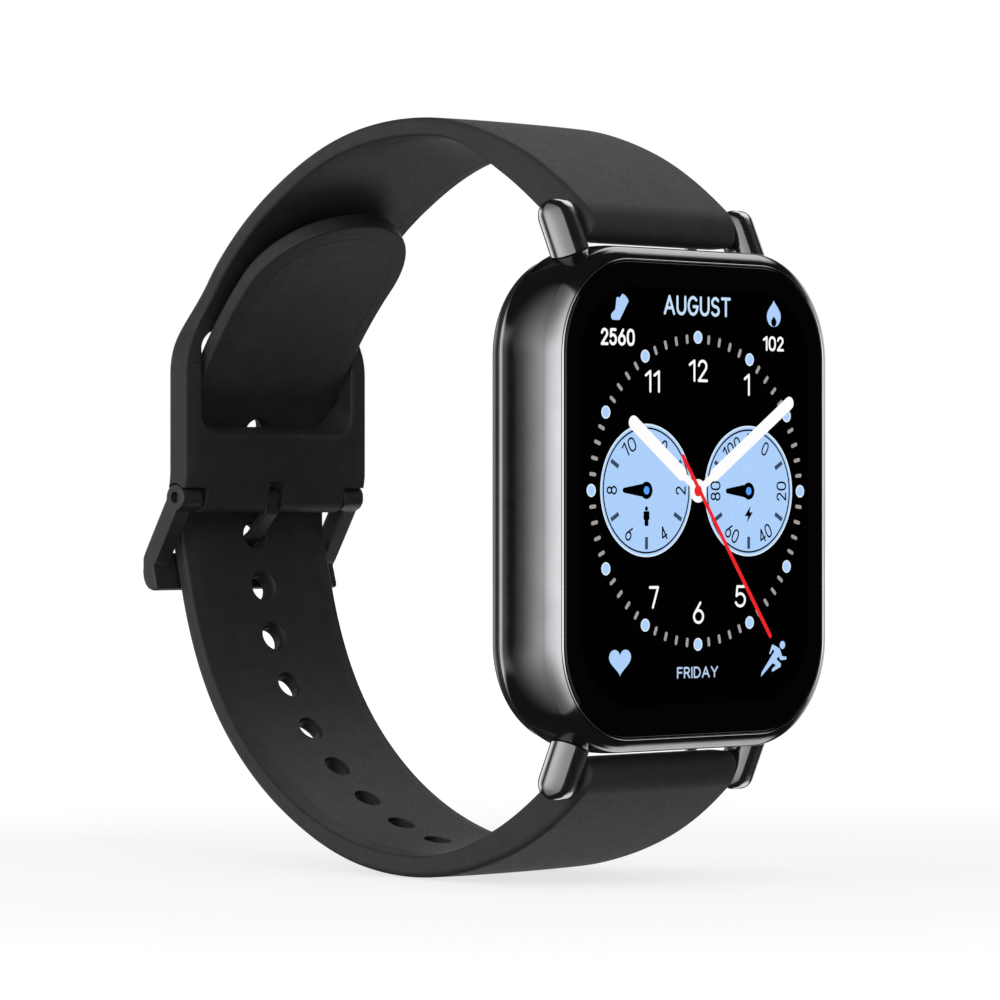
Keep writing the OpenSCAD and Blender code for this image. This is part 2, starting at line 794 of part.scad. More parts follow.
module buckle_frame() {
    color([0.08, 0.08, 0.09]) translate([0, pin_y, pin_z]) difference() {
        union() {
            for (s = [-1, 1]) translate([s * (clasp_w / 2 - 1.05), 0, 0]) across(2.1) buckle_side();
            for (s = [-1, 1]) translate([s * (clasp_w / 2 - knuckle_l / 2), 0, 0])
                across(knuckle_l) circle(r = knuckle_r);
            across(clasp_w) crossbar_side();
        }
        along_x(-clasp_w, clasp_w, pin_r + seat);
        translate([-prong_w / 2 - play, bar_out - 3, bar_high - 1]) cube([prong_w + 2 * play, 6, 2]);
    }
}

module buckle_pin() {
    color("silver") translate([0, pin_y, pin_z]) along_x(-clasp_w / 2 + 0.4, clasp_w / 2 - 0.4, pin_r);
}

module buckle_prong() {
    color([0.08, 0.08, 0.09]) translate([0, pin_y, pin_z]) difference() {
        across(prong_w) {
            circle(r = pin_r + 0.6);
            thick_line([-0.65, -0.2], [-0.4, -1.6], prong_t);
            thick_line([-0.4, -1.6], [1.9, -4], prong_t);
            thick_line([1.9, -4], [bar_out - 0.5, bar_high + 0.4], prong_t);
        }
        along_x(-clasp_w, clasp_w, pin_r + run);
    }
}

case_frame();
lug(-1, 1);  // lug_upper_left
lug(1, 1);  // lug_upper_right
lug(-1, -1);  // lug_lower_left
lug(1, -1);  // lug_lower_right
cover_glass();
glass_seal();
display_panel();
display_shield();
display_flex();
chassis();
chassis_screws();
main_board();
board_shields();
battery();
motor_can();
motor_weight();
speaker();
speaker_mesh();
microphone();
side_button();
button_switch();
back_cover();
back_seal();
sensor_window();
sensor_board();
sensor_leds();
photodiodes();
charging_pins();
charging_magnets();
strap_upper();
bar_tube(1);  // upper_bar_tube
bar_tip(1);  // upper_bar_tip
bar_spring(1);  // upper_bar_spring
release_pin(1);  // upper_release_pin
strap_lower();
bar_tube(-1);  // lower_bar_tube
bar_tip(-1);  // lower_bar_tip
bar_spring(-1);  // lower_bar_spring
release_pin(-1);  // lower_release_pin
buckle_frame();
buckle_pin();
buckle_prong();
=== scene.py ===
"""Looks of the smartwatch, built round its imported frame.

Pieces are drawn in millimetres and scaled to metres when they are complete.
+Z points to 12 o'clock, +X to 3 o'clock, and the display faces -Y.
"""

import math

import bmesh
import bpy
from mathutils import Matrix, Vector
from mathutils.geometry import delaunay_2d_cdt


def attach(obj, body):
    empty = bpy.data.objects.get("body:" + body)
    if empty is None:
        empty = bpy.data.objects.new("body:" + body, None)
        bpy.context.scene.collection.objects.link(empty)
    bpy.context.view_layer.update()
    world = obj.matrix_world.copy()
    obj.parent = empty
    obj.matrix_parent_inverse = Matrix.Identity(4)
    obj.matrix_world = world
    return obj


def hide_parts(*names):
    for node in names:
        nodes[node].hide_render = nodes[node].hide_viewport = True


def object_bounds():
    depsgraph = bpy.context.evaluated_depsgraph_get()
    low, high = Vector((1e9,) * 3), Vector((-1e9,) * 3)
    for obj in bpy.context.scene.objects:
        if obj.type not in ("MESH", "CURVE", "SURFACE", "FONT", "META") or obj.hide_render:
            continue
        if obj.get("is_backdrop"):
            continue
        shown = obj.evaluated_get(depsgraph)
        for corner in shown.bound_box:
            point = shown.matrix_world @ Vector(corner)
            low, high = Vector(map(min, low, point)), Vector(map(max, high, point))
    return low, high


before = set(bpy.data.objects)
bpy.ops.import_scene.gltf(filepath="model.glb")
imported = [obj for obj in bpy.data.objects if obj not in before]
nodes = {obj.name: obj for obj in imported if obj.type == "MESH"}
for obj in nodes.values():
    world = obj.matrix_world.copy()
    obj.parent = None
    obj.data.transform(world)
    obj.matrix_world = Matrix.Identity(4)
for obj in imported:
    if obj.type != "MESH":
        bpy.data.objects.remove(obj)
cad_box = [list(corner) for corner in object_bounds()]
scene = bpy.context.scene

MM = 0.001
CORNERS = ((1, 1), (-1, 1), (-1, -1), (1, -1))


def sin(a):
    return math.sin(math.radians(a))


def cos(a):
    return math.cos(math.radians(a))


def ease(a, b, t):
    """Smoothly from a to b while t goes from 0 to 1."""
    return a + (b - a) * (1 - cos(180 * max(0.0, min(1.0, t)))) / 2


def swell(height, start, length, d):
    """Smoothly from 0 to a height over a length that begins at start."""
    return ease(0, height, (d - start) / length)


# Case: rounded rectangle set out from the middles of its corners. A level is a height above the sensor window.
HALF_X, HALF_Z = 9.4, 13.9
CORNER_STEPS, SIDE_STEPS = 26, 12
CORNER_R, SEAM_R, GLASS_R, LEDGE_R, INNER_R = 10.75, 10.05, 9.2, 7.3, 8.85
BODY_T, GLASS_LEVEL, LEDGE_TOP, LEDGE_BOTTOM = 11.2, 10.2, 10.05, 8.9
# Its flank is a shallow arc, widest half-way up, and its crown turns in to the rim
FLANK_MIDDLE, FLANK_BOW, FLANK_FOOT, FLANK_RISE = 7.25, 52, 4.0, 5.7
CROWN_R, CROWN_RISE, CROWN_TURN = 9.5, 1.3, 66
BEAD_REACH, BEAD_LEVEL, GLASS_EDGE = 9.31, 10.96, 0.32
BACK_ROUND, LIP_IN, LIP_OUT, LIP_TOP = 1.6, 8.0, 8.7, 4.0
BACK_LEVEL, FLOOR_LEVEL, COVER_LEVEL, FRAME_LEVEL = 1.3, 2.5, 3.1, 3.3
BUTTON_LEVEL, BUTTON_L, BUTTON_R, BUTTON_OUT = 6.0, 9.6, 1.2, 20.65
ISLAND_R, ISLAND_LEVEL, WINDOW_R = 13.5, 0.4, 10.5
PIN_X, PIN_Z, PIN_R = 2.6, -16.2, 1.1
SPEAKER_Z, SPEAKER_PITCH, SPEAKER_R, SPEAKER_COUNT = -11.2, 1.5, 0.4, 5
MIC_Z, MIC_R = 9.5, 0.3
FLANK_CUT = (15, 24)  # X from inside the frame to past its right flank

# Spring bars and lugs
BAR_Y, BAR_Z, BARREL_R, BAR_BORE = -4.3, 27.45, 2.1, 0.8
LUG_X, LUG_W, LUG_D, LUG_LEAN = 12.8, 3.3, 3.24, 24.6
LUG_OUT, LUG_FORWARD, LUG_BEND = 0.09, 0.2, 1.75
LUG_HALF_W, LUG_HALF_D = LUG_W / 2 + 0.19, LUG_D / 2 + 0.2

# Strap and clasp
STRAP_W, STRAP_T, LOOP_R, SWELL_L = 21.8, 2.2, 38.5, 22.0
LOOP_MID_R = LOOP_R - STRAP_T / 2
LOOP_Z = -0.5
LOOP_Y = BAR_Y + math.sqrt((LOOP_R - BARREL_R) ** 2 - (BAR_Z - LOOP_Z) ** 2)
KINK, KINK_R = 33.2, 8.0
CLASP_T, CLASP_W = STRAP_T + 1, STRAP_W + 3.7
CLASP_Y = LOOP_Y + LOOP_MID_R * cos(KINK) + KINK_R * (1 - cos(KINK))
CLASP_SPARE = 0.3  # how much wider the clasp is drawn at each side
PIN_OUT = 0.35  # how far the buckle pin lies outside the middle of the clasp
CLASP_PIN_Y, CLASP_PIN_Z, CLASP_BARREL_R, CLASP_PIN_R = CLASP_Y + PIN_OUT, 0.3, 1.6, 0.6
# Slot for the tail: lower edge, distance from the pin to its top edge, and corners and ledge at both faces
SLOT_LOW, SLOT_REACH, SLOT_SPARE = 6.8, 18.374, 0.9
SLOT_CORNER, SLOT_LEDGE = (2.3, 4.2), (0.35, 1.15)
TAIL_W = STRAP_W - 1.2
LOWER_R, LOWER_Z = LOOP_R - 3.35, -1.35
LOWER_Y = BAR_Y + math.sqrt(LOWER_R**2 - (BAR_Z + LOWER_Z) ** 2)
LOWER_ANGLE = math.degrees(math.atan2(-BAR_Z - LOWER_Z, BAR_Y - LOWER_Y))
FLARE, FLARE_R = 14.7, 10.0
TAIL_Y = CLASP_Y + CLASP_T / 2 + 0.7 + STRAP_T / 2
FLARE_L = (TAIL_Y - FLARE_R * (1 - cos(FLARE)) - LOWER_Y - LOWER_R * cos(FLARE)) / sin(FLARE)
FLARE_END_Z = LOWER_Z - LOWER_R * sin(FLARE) + FLARE_L * cos(FLARE) + FLARE_R * sin(FLARE)
HOLE_R, HOLE_PITCH, HOLES_ABOVE, HOLES_BELOW, PRONG_HOLE_Z = 1.5, 5.8, 2, 8, -3.9
KNUCKLE_R, KNUCKLE_L = 1.4, 2.85
KNUCKLE_IN, KNUCKLE_GAP = CLASP_W / 2 - KNUCKLE_L, 0.15
# How far the noses reach past the bars, and how far the arcs stand outside their middle lines
NOSE_L, BULGE, UPPER_RISE, LOWER_RISE = 2.8, 0.35, 0.35, 0.3
UPPER_BAR_IN, UPPER_START = 1.0, 1.8  # bar inside the upper middle line, and degrees that are run before it
TAIL_LEAN, TAIL_BEND_R, TAIL_BEND_DROP, TAIL_L = 34, 13, 2.5, 4.9
TAIL_END_L, TAIL_END_TURN = 20, 23
# Widths: the upper strap's, where it widens to the clasp, and how far from the case the lower one reaches its tail's
UPPER_W, SHOULDER_Z, SHOULDER_L, TAPER_Y = STRAP_W - 0.2, 13.5, 9, 25
ACROSS = (-20, 20)  # X past both sides of the strap
NOTCH_HALF, NOTCH_L, KNOB_SLOT = 1.15, 1.7, (6.0, 9.3)


# ---------------------------------------------------------------- meshes


def new_piece(name, points, faces):
    mesh = bpy.data.meshes.new(name)
    mesh.from_pydata([tuple(p) for p in points], [], faces)
    mesh.update()
    piece = bpy.data.objects.new(name, mesh)
    scene.collection.objects.link(piece)
    return piece


def skin(name, rings, joined=False):
    """Closed surface through rings of equally many points."""
    n = len(rings[0])
    faces = []
    for i in range(len(rings) if joined else len(rings) - 1):
        a, b = i * n, (i + 1) % len(rings) * n
        faces += [(a + j, a + (j + 1) % n, b + (j + 1) % n, b + j) for j in range(n)]
    if not joined:
        last = (len(rings) - 1) * n
        faces += [tuple(range(n - 1, -1, -1)), tuple(range(last, last + n))]
    piece = new_piece(name, [p for ring in rings for p in ring], faces)
    clean(piece)
    return piece


def clean(piece, merge=0.0004):
    """Merges doubled points and turns the faces outwards."""
    form = bmesh.new()
    form.from_mesh(piece.data)
    bmesh.ops.remove_doubles(form, verts=form.verts, dist=merge)
    bmesh.ops.dissolve_degenerate(form, edges=form.edges, dist=merge / 4)
    bmesh.ops.recalc_face_normals(form, faces=form.faces)
    form.to_mesh(piece.data)
    form.free()


def settle(piece):
    """Makes the modifiers part of the mesh."""
    bpy.context.view_layer.update()
    graph = bpy.context.evaluated_depsgraph_get()
    mesh = bpy.data.meshes.new_from_object(piece.evaluated_get(graph))
    piece.modifiers.clear()
    piece.data = mesh


def combine(piece, tools, operation="DIFFERENCE"):
    for tool in tools:
        step = piece.modifiers.new(operation.lower(), "BOOLEAN")
        step.operation = operation
        step.solver = "EXACT"
        step.object = tool
    settle(piece)
    for tool in tools:
        bpy.data.objects.remove(tool)
    clean(piece)


def join(name, pieces):
    """One mesh from several."""
    form = bmesh.new()
    for piece in pieces:
        form.from_mesh(piece.data)
    mesh = bpy.data.meshes.new(name)
    form.to_mesh(mesh)
    form.free()
    for piece in pieces:
        bpy.data.objects.remove(piece)
    joined = bpy.data.objects.new(name, mesh)
    scene.collection.objects.link(joined)
    return joined


def soften(piece, voxel, rounds):
    """Remeshes evenly and rounds the edges."""
    step = piece.modifiers.new("even", "REMESH")
    step.mode = "VOXEL"
    step.voxel_size = voxel
    step = piece.modifiers.new("round", "SMOOTH")
    step.factor = 0.5
    step.iterations = rounds
    settle(piece)


def complete(piece, material, body, slot, stands_for=(), sharp=34, weighted=False):
    """Scales the piece to metres, gives it its finish and sets it on its body."""
    piece.data.transform(Matrix.Scale(MM, 4))
    piece.data.materials.clear()
    piece.data.materials.append(material)
    for face in piece.data.polygons:
        face.material_index = 0
    piece.data.shade_smooth()
    piece.data.set_sharp_from_angle(angle=math.radians(sharp))
    if weighted:
        step = piece.modifiers.new("weighted", "WEIGHTED_NORMAL")
        step.keep_sharp = True
        step.weight = 80
        settle(piece)
    if stands_for:
        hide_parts(*stands_for)
    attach(piece, body)
    return piece


def fillet(corners, segments=5):
    """Closed polygon with rounded corners, from (a, b, radius)."""
    made = []
    n = len(corners)
    for i, (a, b, r) in enumerate(corners):
        here = Vector((a, b))
        if r == 0:
            made.append((a, b))
            continue
        before = (Vector(corners[i - 1][:2]) - here).normalized()
        after = (Vector(corners[(i + 1) % n][:2]) - here).normalized()
        half = before.angle(after) / 2
        middle = here + (before + after).normalized() * r / math.sin(half)
        reach = r / math.tan(half)
        start, end = here + before * reach - middle, here + after * reach - middle
        turn = start.angle_signed(end)
        for k in range(segments + 1):
            spot = middle + Matrix.Rotation(-turn * k / segments, 2) @ start
            made.append((spot.x, spot.y))
    return made


def case_ring(reach, level):
    """Ring round the case, reach out from the corner middles."""
    ring = []
    for i, (sx, sz) in enumerate(CORNERS):
        for k in range(CORNER_STEPS + 1):
            a = 90 * i + 90 * k / CORNER_STEPS
            ring.append((sx * HALF_X + reach * cos(a), -level, sz * HALF_Z + reach * sin(a)))
        x, y, z = ring[-1]
        to_x, to_z = CORNERS[(i + 1) % 4]
        for k in range(1, SIDE_STEPS):
            t = k / SIDE_STEPS
            ring.append((x + (to_x - sx) * HALF_X * t, y, z + (to_z - sz) * HALF_Z * t))
    return ring


def round_ring(r, level):
    """Circle about the middle of the case, point for point beside a case ring."""
    ring = []
    for x, _, z in case_ring(SEAM_R, 0):
        d = math.hypot(x, z)
        ring.append((x / d * r, -level, z / d * r))
    return ring


def disc_ring(r, y, sides, rz=None):
    """Ring about the Y axis, an ellipse when rz is given."""
    rz = r if rz is None else rz
    return [(r * cos(360 * k / sides), y, rz * sin(360 * k / sides)) for k in range(sides)]


def rod(name, x0, x1, y, z, r, sides=40):
    """Cylinder along X."""
    return skin(
        name,
        [[(x, y + r * cos(360 * k / sides), z + r * sin(360 * k / sides)) for k in range(sides)]
         for x in (x0, x1)],
    )


def slab(name, low, high):
    (a, b, c), (d, e, f) = low, high
    return skin(name, [[(a, b, z), (d, b, z), (d, e, z), (a, e, z)] for z in (c, f)])


# ---------------------------------------------------------------- geometry node trees


class Tree:
    """A geometry node tree that ends in Realize Instances and Set Material."""

    def __init__(self, name, **inputs):
        self.tree = bpy.data.node_groups.new(name, "GeometryNodeTree")
        face = self.tree.interface
        face.new_socket("Geometry", in_out="INPUT", socket_type="NodeSocketGeometry")
        for label, kind in inputs.items():
            face.new_socket(label, in_out="INPUT", socket_type="NodeSocket" + kind)
        face.new_socket("Finish", in_out="INPUT", socket_type="NodeSocketMaterial")
        face.new_socket("Geometry", in_out="OUTPUT", socket_type="NodeSocketGeometry")
        self.given = self.add("NodeGroupInput")

    def add(self, kind, **settings):
        node = self.tree.nodes.new(kind)
        for key, value in settings.items():
            setattr(node, key, value)
        return node

    def link(self, source, target):
        self.tree.links.new(source, target)

    def math(self, operation, a, b):
        node = self.add("ShaderNodeMath", operation=operation)
        for slot, value in zip(node.inputs, (a, b)):
            if isinstance(value, (int, float)):
                slot.default_value = value
            elif value is not None:
                self.link(value, slot)
        return node.outputs[0]

    def vector(self, operation, a, b=None, scale=None):
        node = self.add("ShaderNodeVectorMath", operation=operation)
        for slot, value in zip(node.inputs, (a, b)):
            if isinstance(value, tuple):
                slot.default_value = value
            elif value is not None:
                self.link(value, slot)
        if scale is not None:
            self.link(scale, node.inputs["Scale"])
        return node.outputs[0]

    def end(self, geometry):
        real = self.add("GeometryNodeRealizeInstances")
        paint = self.add("GeometryNodeSetMaterial")
        out = self.add("NodeGroupOutput")
        self.link(geometry, real.inputs[0])
        self.link(real.outputs[0], paint.inputs["Geometry"])
        self.link(self.given.outputs["Finish"], paint.inputs["Material"])
        self.link(paint.outputs[0], out.inputs[0])
        return self.tree


def copies_on(tree, place, turn):
    """Instances of the given mesh at counted places."""
    points = tree.add("GeometryNodePoints")
    copies = tree.add("GeometryNodeInstanceOnPoints")
    tree.link(tree.given.outputs["Count"], points.inputs["Count"])
    tree.link(place, points.inputs["Position"])
    tree.link(points.outputs[0], copies.inputs["Points"])
    tree.link(tree.given.outputs["Geometry"], copies.inputs["Instance"])
    if turn is not None:
        tree.link(turn, copies.inputs["Rotation"])
    return tree.end(copies.outputs[0])


def marks_round_a_middle():
    tree = Tree("marks round a middle", Count="Int", Radius="Float", First="Float", Step="Float", Middle="Vector")
    index = tree.add("GeometryNodeInputIndex").outputs[0]
    angle = tree.math("ADD", tree.given.outputs["First"], tree.math("MULTIPLY", index, tree.given.outputs["Step"]))
    spot = tree.add("ShaderNodeCombineXYZ")
    tree.link(tree.math("SINE", angle, None), spot.inputs[0])
    tree.link(tree.math("COSINE", angle, None), spot.inputs[2])
    place = tree.vector(
        "ADD", tree.vector("SCALE", spot.outputs[0], scale=tree.given.outputs["Radius"]), tree.given.outputs["Middle"]
    )
    about = tree.add("ShaderNodeCombineXYZ")
    tree.link(angle, about.inputs[1])
    turn = tree.add("FunctionNodeEulerToRotation")
    tree.link(about.outputs[0], turn.inputs[0])
    return copies_on(tree, place, turn.outputs[0])


def copies_in_a_row():
    tree = Tree("copies in a row", Count="Int", First="Vector", Step="Vector")
    index = tree.add("GeometryNodeInputIndex").outputs[0]
    along = tree.vector("SCALE", tree.given.outputs["Step"], scale=index)
    return copies_on(tree, tree.vector("ADD", tree.given.outputs["First"], along), None)


def band_on_a_path():
    """Wraps a band drawn flat, with X across, Y out and Z along, round a path."""
    tree = Tree("band on a path", Path="Object", Start="Float", Outward="Float")
    place = tree.add("ShaderNodeSeparateXYZ")
    tree.link(tree.add("GeometryNodeInputPosition").outputs[0], place.inputs[0])
    path = tree.add("GeometryNodeObjectInfo")
    tree.link(tree.given.outputs["Path"], path.inputs[0])
    sample = tree.add("GeometryNodeSampleCurve", mode="LENGTH")
    tree.link(path.outputs["Geometry"], sample.inputs["Curves"])
    tree.link(tree.math("SUBTRACT", place.outputs[2], tree.given.outputs["Start"]), sample.inputs["Length"])
    outward = tree.vector("CROSS_PRODUCT", (1.0, 0.0, 0.0), sample.outputs["Tangent"])
    height = tree.math("MULTIPLY", place.outputs[1], tree.given.outputs["Outward"])
    across = tree.add("ShaderNodeCombineXYZ")
    tree.link(place.outputs[0], across.inputs[0])
    spot = tree.vector(
        "ADD",
        tree.vector("ADD", sample.outputs["Position"], across.outputs[0]),
        tree.vector("SCALE", outward, scale=height),
    )
    moved = tree.add("GeometryNodeSetPosition")
    tree.link(tree.given.outputs["Geometry"], moved.inputs["Geometry"])
    tree.link(spot, moved.inputs["Position"])
    return tree.end(moved.outputs[0])


ROUND_TREE, ROW_TREE, PATH_TREE = marks_round_a_middle(), copies_in_a_row(), band_on_a_path()


def grow(piece, tree, **values):
    """Runs a tree on a piece and keeps the result as its mesh."""
    step = piece.modifiers.new(tree.name, "NODES")
    step.node_group = tree
    for item in tree.interface.items_tree:
        if item.in_out == "INPUT" and item.name in values:
            step[item.identifier] = values[item.name]
    settle(piece)
    return piece


# ---------------------------------------------------------------- finishes


def map_range(net, value, first, last, low, high, smooth=False):
    """Node that takes first..last to low..high."""
    node = net.nodes.new("ShaderNodeMapRange")
    if smooth:
        node.interpolation_type = "SMOOTHSTEP"
    for label, number in zip(("From Min", "From Max", "To Min", "To Max"), (first, last, low, high)):
        node.inputs[label].default_value = number
    net.links.new(value, node.inputs["Value"])
    return node.outputs[0]


class Finish:
    """A material with a Principled shader and patterns on Object coordinates, in metres."""

    def __init__(self, name, **values):
        self.material = bpy.data.materials.new(name)
        self.material.use_nodes = True
        self.net = self.material.node_tree
        self.shader = self.net.nodes["Principled BSDF"]
        self.place = self.net.nodes.new("ShaderNodeTexCoord").outputs["Object"]
        for label, value in values.items():
            self.shader.inputs[label.replace("_", " ")].default_value = value

    def stretched(self, scale):
        node = self.net.nodes.new("ShaderNodeMapping")
        node.inputs["Scale"].default_value = scale
        self.net.links.new(self.place, node.inputs[0])
        return node.outputs[0]

    def noise(self, scale, detail=2.0, roughness=0.5, stretch=None):
        node = self.net.nodes.new("ShaderNodeTexNoise")
        node.inputs["Scale"].default_value = scale
        node.inputs["Detail"].default_value = detail
        node.inputs["Roughness"].default_value = roughness
        self.net.links.new(self.stretched(stretch) if stretch else self.place, node.inputs["Vector"])
        return node.outputs["Fac"]

    def grid(self, scale, size):
        node = self.net.nodes.new("ShaderNodeTexBrick")
        node.offset = 0.5
        node.inputs["Scale"].default_value = scale
        node.inputs["Mortar Size"].default_value = size
        self.net.links.new(self.place, node.inputs["Vector"])
        return node.outputs["Fac"]

    def span(self, value, low, high, first=0.3, last=0.7):
        """Takes the middle of a pattern to low..high."""
        return map_range(self.net, value, first, last, low, high)

    def blend(self, value, first, second):
        node = self.net.nodes.new("ShaderNodeMix")
        node.data_type = "RGBA"
        colours = [s for s in node.inputs if s.type == "RGBA"]
        colours[0].default_value = (*first, 1)
        colours[1].default_value = (*second, 1)
        self.net.links.new(value, node.inputs["Factor"])
        return [s for s in node.outputs if s.type == "RGBA"][0]

    def set(self, label, value):
        self.net.links.new(value, self.shader.inputs[label])
        return self

    def bump(self, value, depth, strength=1.0):
        node = self.net.nodes.new("ShaderNodeBump")
        node.inputs["Distance"].default_value = depth
        node.inputs["Strength"].default_value = strength
        self.net.links.new(value, node.inputs["Height"])
        self.net.links.new(node.outputs[0], self.shader.inputs["Normal"])
        return self


def plain(name, dark, light, rough, metallic=0.0, grain=4000, depth=0.00001, strength=0.25, patch=180, **values):
    """Moulded or machined finish: slight colour and gloss changes, and a fine grain."""
    made = Finish(name, Metallic=metallic, **values)
    tone = made.noise(patch, 3)
    made.set("Base Color", made.blend(made.span(tone, 0, 1), dark, light))
    made.set("Roughness", made.span(made.noise(patch * 4, 2), rough[0], rough[1]))
    return made.bump(made.noise(grain, 2), depth, strength).material


def glow(name, colour, shade=0.93):
    """Lit display ink, a shade darker between its dots."""
    made = Finish(name, Base_Color=(0, 0, 0, 1), Roughness=0.6, Emission_Strength=1.0)
    made.shader.inputs["Specular IOR Level"].default_value = 0.0
    darker = tuple(c * shade for c in colour)
    made.set("Emission Color", made.blend(made.span(made.noise(5200, 1), 0, 1), darker, colour))
    return made.material


def srgb(r, g, b):
    def straight(c):
        c /= 255
        return c / 12.92 if c <= 0.04045 else ((c + 0.055) / 1.055) ** 2.4

    return straight(r), straight(g), straight(b)


RUBBER = Finish("moulded rubber", Metallic=0.0)
RUBBER.shader.inputs["Specular IOR Level"].default_value = 0.32
_tone = RUBBER.span(RUBBER.noise(420, 4, 0.6), 0, 1)
RUBBER.set("Base Color", RUBBER.blend(_tone, (0.030, 0.030, 0.033), (0.041, 0.041, 0.045)))
RUBBER.set("Roughness", RUBBER.span(RUBBER.noise(2600, 3), 0.5, 0.62))
RUBBER = RUBBER.bump(RUBBER.noise(8500, 3, 0.6), 0.000018, 0.45).material

SATIN_BLACK = plain("satin black buckle", (0.030, 0.030, 0.032), (0.044, 0.044, 0.047), (0.36, 0.46), grain=7000)


def chrome(name, dark, light, rough):
    """Polished metal with a faint grain across its height."""
    made = Finish(name, Metallic=1.0)
    made.set("Base Color", made.blend(made.span(made.noise(260, 3), 0, 1), dark, light))
    made.set("Roughness", made.span(made.noise(900, 3), *rough))
    return made.bump(made.noise(1800, 3, stretch=(0.25, 0.25, 3)), 0.000002, 0.12).material


CHROME = chrome("black chrome", (0.26, 0.262, 0.27), (0.30, 0.302, 0.31), (0.07, 0.11))
LUG_CHROME = chrome("polished lug metal", (0.44, 0.44, 0.45), (0.48, 0.48, 0.49), (0.1, 0.14))
BRIGHT = plain("polished rim", (0.55, 0.55, 0.57), (0.6, 0.6, 0.62), (0.1, 0.16), metallic=1.0, depth=1e-6)
GLASS = Finish("cover glass", Metallic=0.0)
GLASS.shader.inputs["Specular IOR Level"].default_value = 0.22
GLASS.set("Base Color", GLASS.blend(GLASS.span(GLASS.noise(90), 0, 1), (0.0016, 0.0016, 0.002), (0.002, 0.002, 0.0024)))
GLASS.set("Roughness", GLASS.span(GLASS.noise(300, 2), 0.03, 0.05))
GLASS = GLASS.material
BACK_SHELL = plain("back shell", (0.02, 0.02, 0.022), (0.03, 0.03, 0.033), (0.12, 0.18), grain=6000, depth=3e-6,
                   Specular_IOR_Level=0.7)
SENSOR_GLASS = plain("sensor glass", (0.004, 0.004, 0.006), (0.007, 0.007, 0.01), (0.05, 0.08), grain=900, depth=1e-6)
BUTTON_METAL = plain("button metal", (0.2, 0.2, 0.21), (0.24, 0.24, 0.25), (0.14, 0.2), metallic=1.0, grain=3000,
                     depth=2e-6)
STEEL = plain("spring bar steel", (0.5, 0.5, 0.5), (0.62, 0.61, 0.6), (0.24, 0.36), metallic=1.0, depth=3e-6)
GOLD = plain("plated contact", (0.85, 0.6, 0.28), (0.95, 0.7, 0.36), (0.2, 0.32), metallic=1.0, depth=2e-6)
SEAL = plain("seal rubber", (0.012, 0.012, 0.013), (0.02, 0.02, 0.021), (0.6, 0.75))
PANEL = plain("display panel", (0.004, 0.004, 0.006), (0.008, 0.008, 0.012), (0.15, 0.25), depth=2e-6)
POLYIMIDE = plain("flex ribbon", (0.42, 0.17, 0.04), (0.55, 0.25, 0.07), (0.3, 0.42), patch=900)
CHASSIS = plain("chassis metal", (0.36, 0.36, 0.37), (0.46, 0.46, 0.47), (0.32, 0.5), metallic=1.0, grain=5200)
CELL = plain("battery pouch", (0.30, 0.31, 0.33), (0.42, 0.43, 0.45), (0.3, 0.45), metallic=0.6, grain=1500, depth=3e-5)
TUNGSTEN = plain("motor weight", (0.22, 0.22, 0.23), (0.33, 0.33, 0.34), (0.35, 0.5), metallic=1.0)
PLASTIC = plain("black plastic", (0.02, 0.02, 0.021), (0.032, 0.032, 0.034), (0.45, 0.6))
LED = plain("sensor led", (0.05, 0.5, 0.12), (0.1, 0.75, 0.2), (0.2, 0.3), patch=2500)
MAGNET = plain("magnet plating", (0.55, 0.54, 0.52), (0.66, 0.65, 0.62), (0.18, 0.28), metallic=1.0, depth=2e-6)

BOARD = Finish("circuit board", Metallic=0.0)
_tracks = BOARD.grid(1400, 0.035)
BOARD.set("Base Color", BOARD.blend(_tracks, (0.012, 0.12, 0.05), (0.03, 0.26, 0.11)))
BOARD.set("Roughness", BOARD.span(BOARD.noise(1500, 2), 0.3, 0.45))
BOARD = BOARD.bump(_tracks, 0.00003, 0.5).material
MESH_CLOTH = Finish("speaker mesh", Metallic=0.8)
_weave = MESH_CLOTH.grid(9000, 0.12)
MESH_CLOTH.set("Base Color", MESH_CLOTH.blend(_weave, (0.02, 0.02, 0.02), (0.2, 0.2, 0.2)))
MESH_CLOTH.set("Roughness", MESH_CLOTH.span(MESH_CLOTH.noise(3000), 0.4, 0.6))
MESH_CLOTH = MESH_CLOTH.bump(_weave, 0.00004, 0.8).material

INK_BLUE = glow("ink light blue", srgb(176, 212, 255))
INK_RIM = glow("ink rim blue", srgb(226, 242, 255))
INK_PALE = glow("ink pale blue", srgb(200, 228, 255))
INK_CLOUD = glow("ink cloud blue", srgb(190, 210, 245))
INK_WHITE = glow("ink white", (1.0, 1.0, 1.0), shade=0.96)
INK_RED = glow("ink red", srgb(240, 40, 45))
INK_GREY = glow("ink grey", srgb(165, 160, 160))
INK_SLATE = glow("ink slate", srgb(60, 75, 100))
INK_DOT = glow("ink bright blue", srgb(85, 165, 255))
INK_BLACK = glow("ink black", (0.0004, 0.0004, 0.0005))
INK_SHADE = glow("ink hand shadow", srgb(96, 122, 158))


# ---------------------------------------------------------------- straps


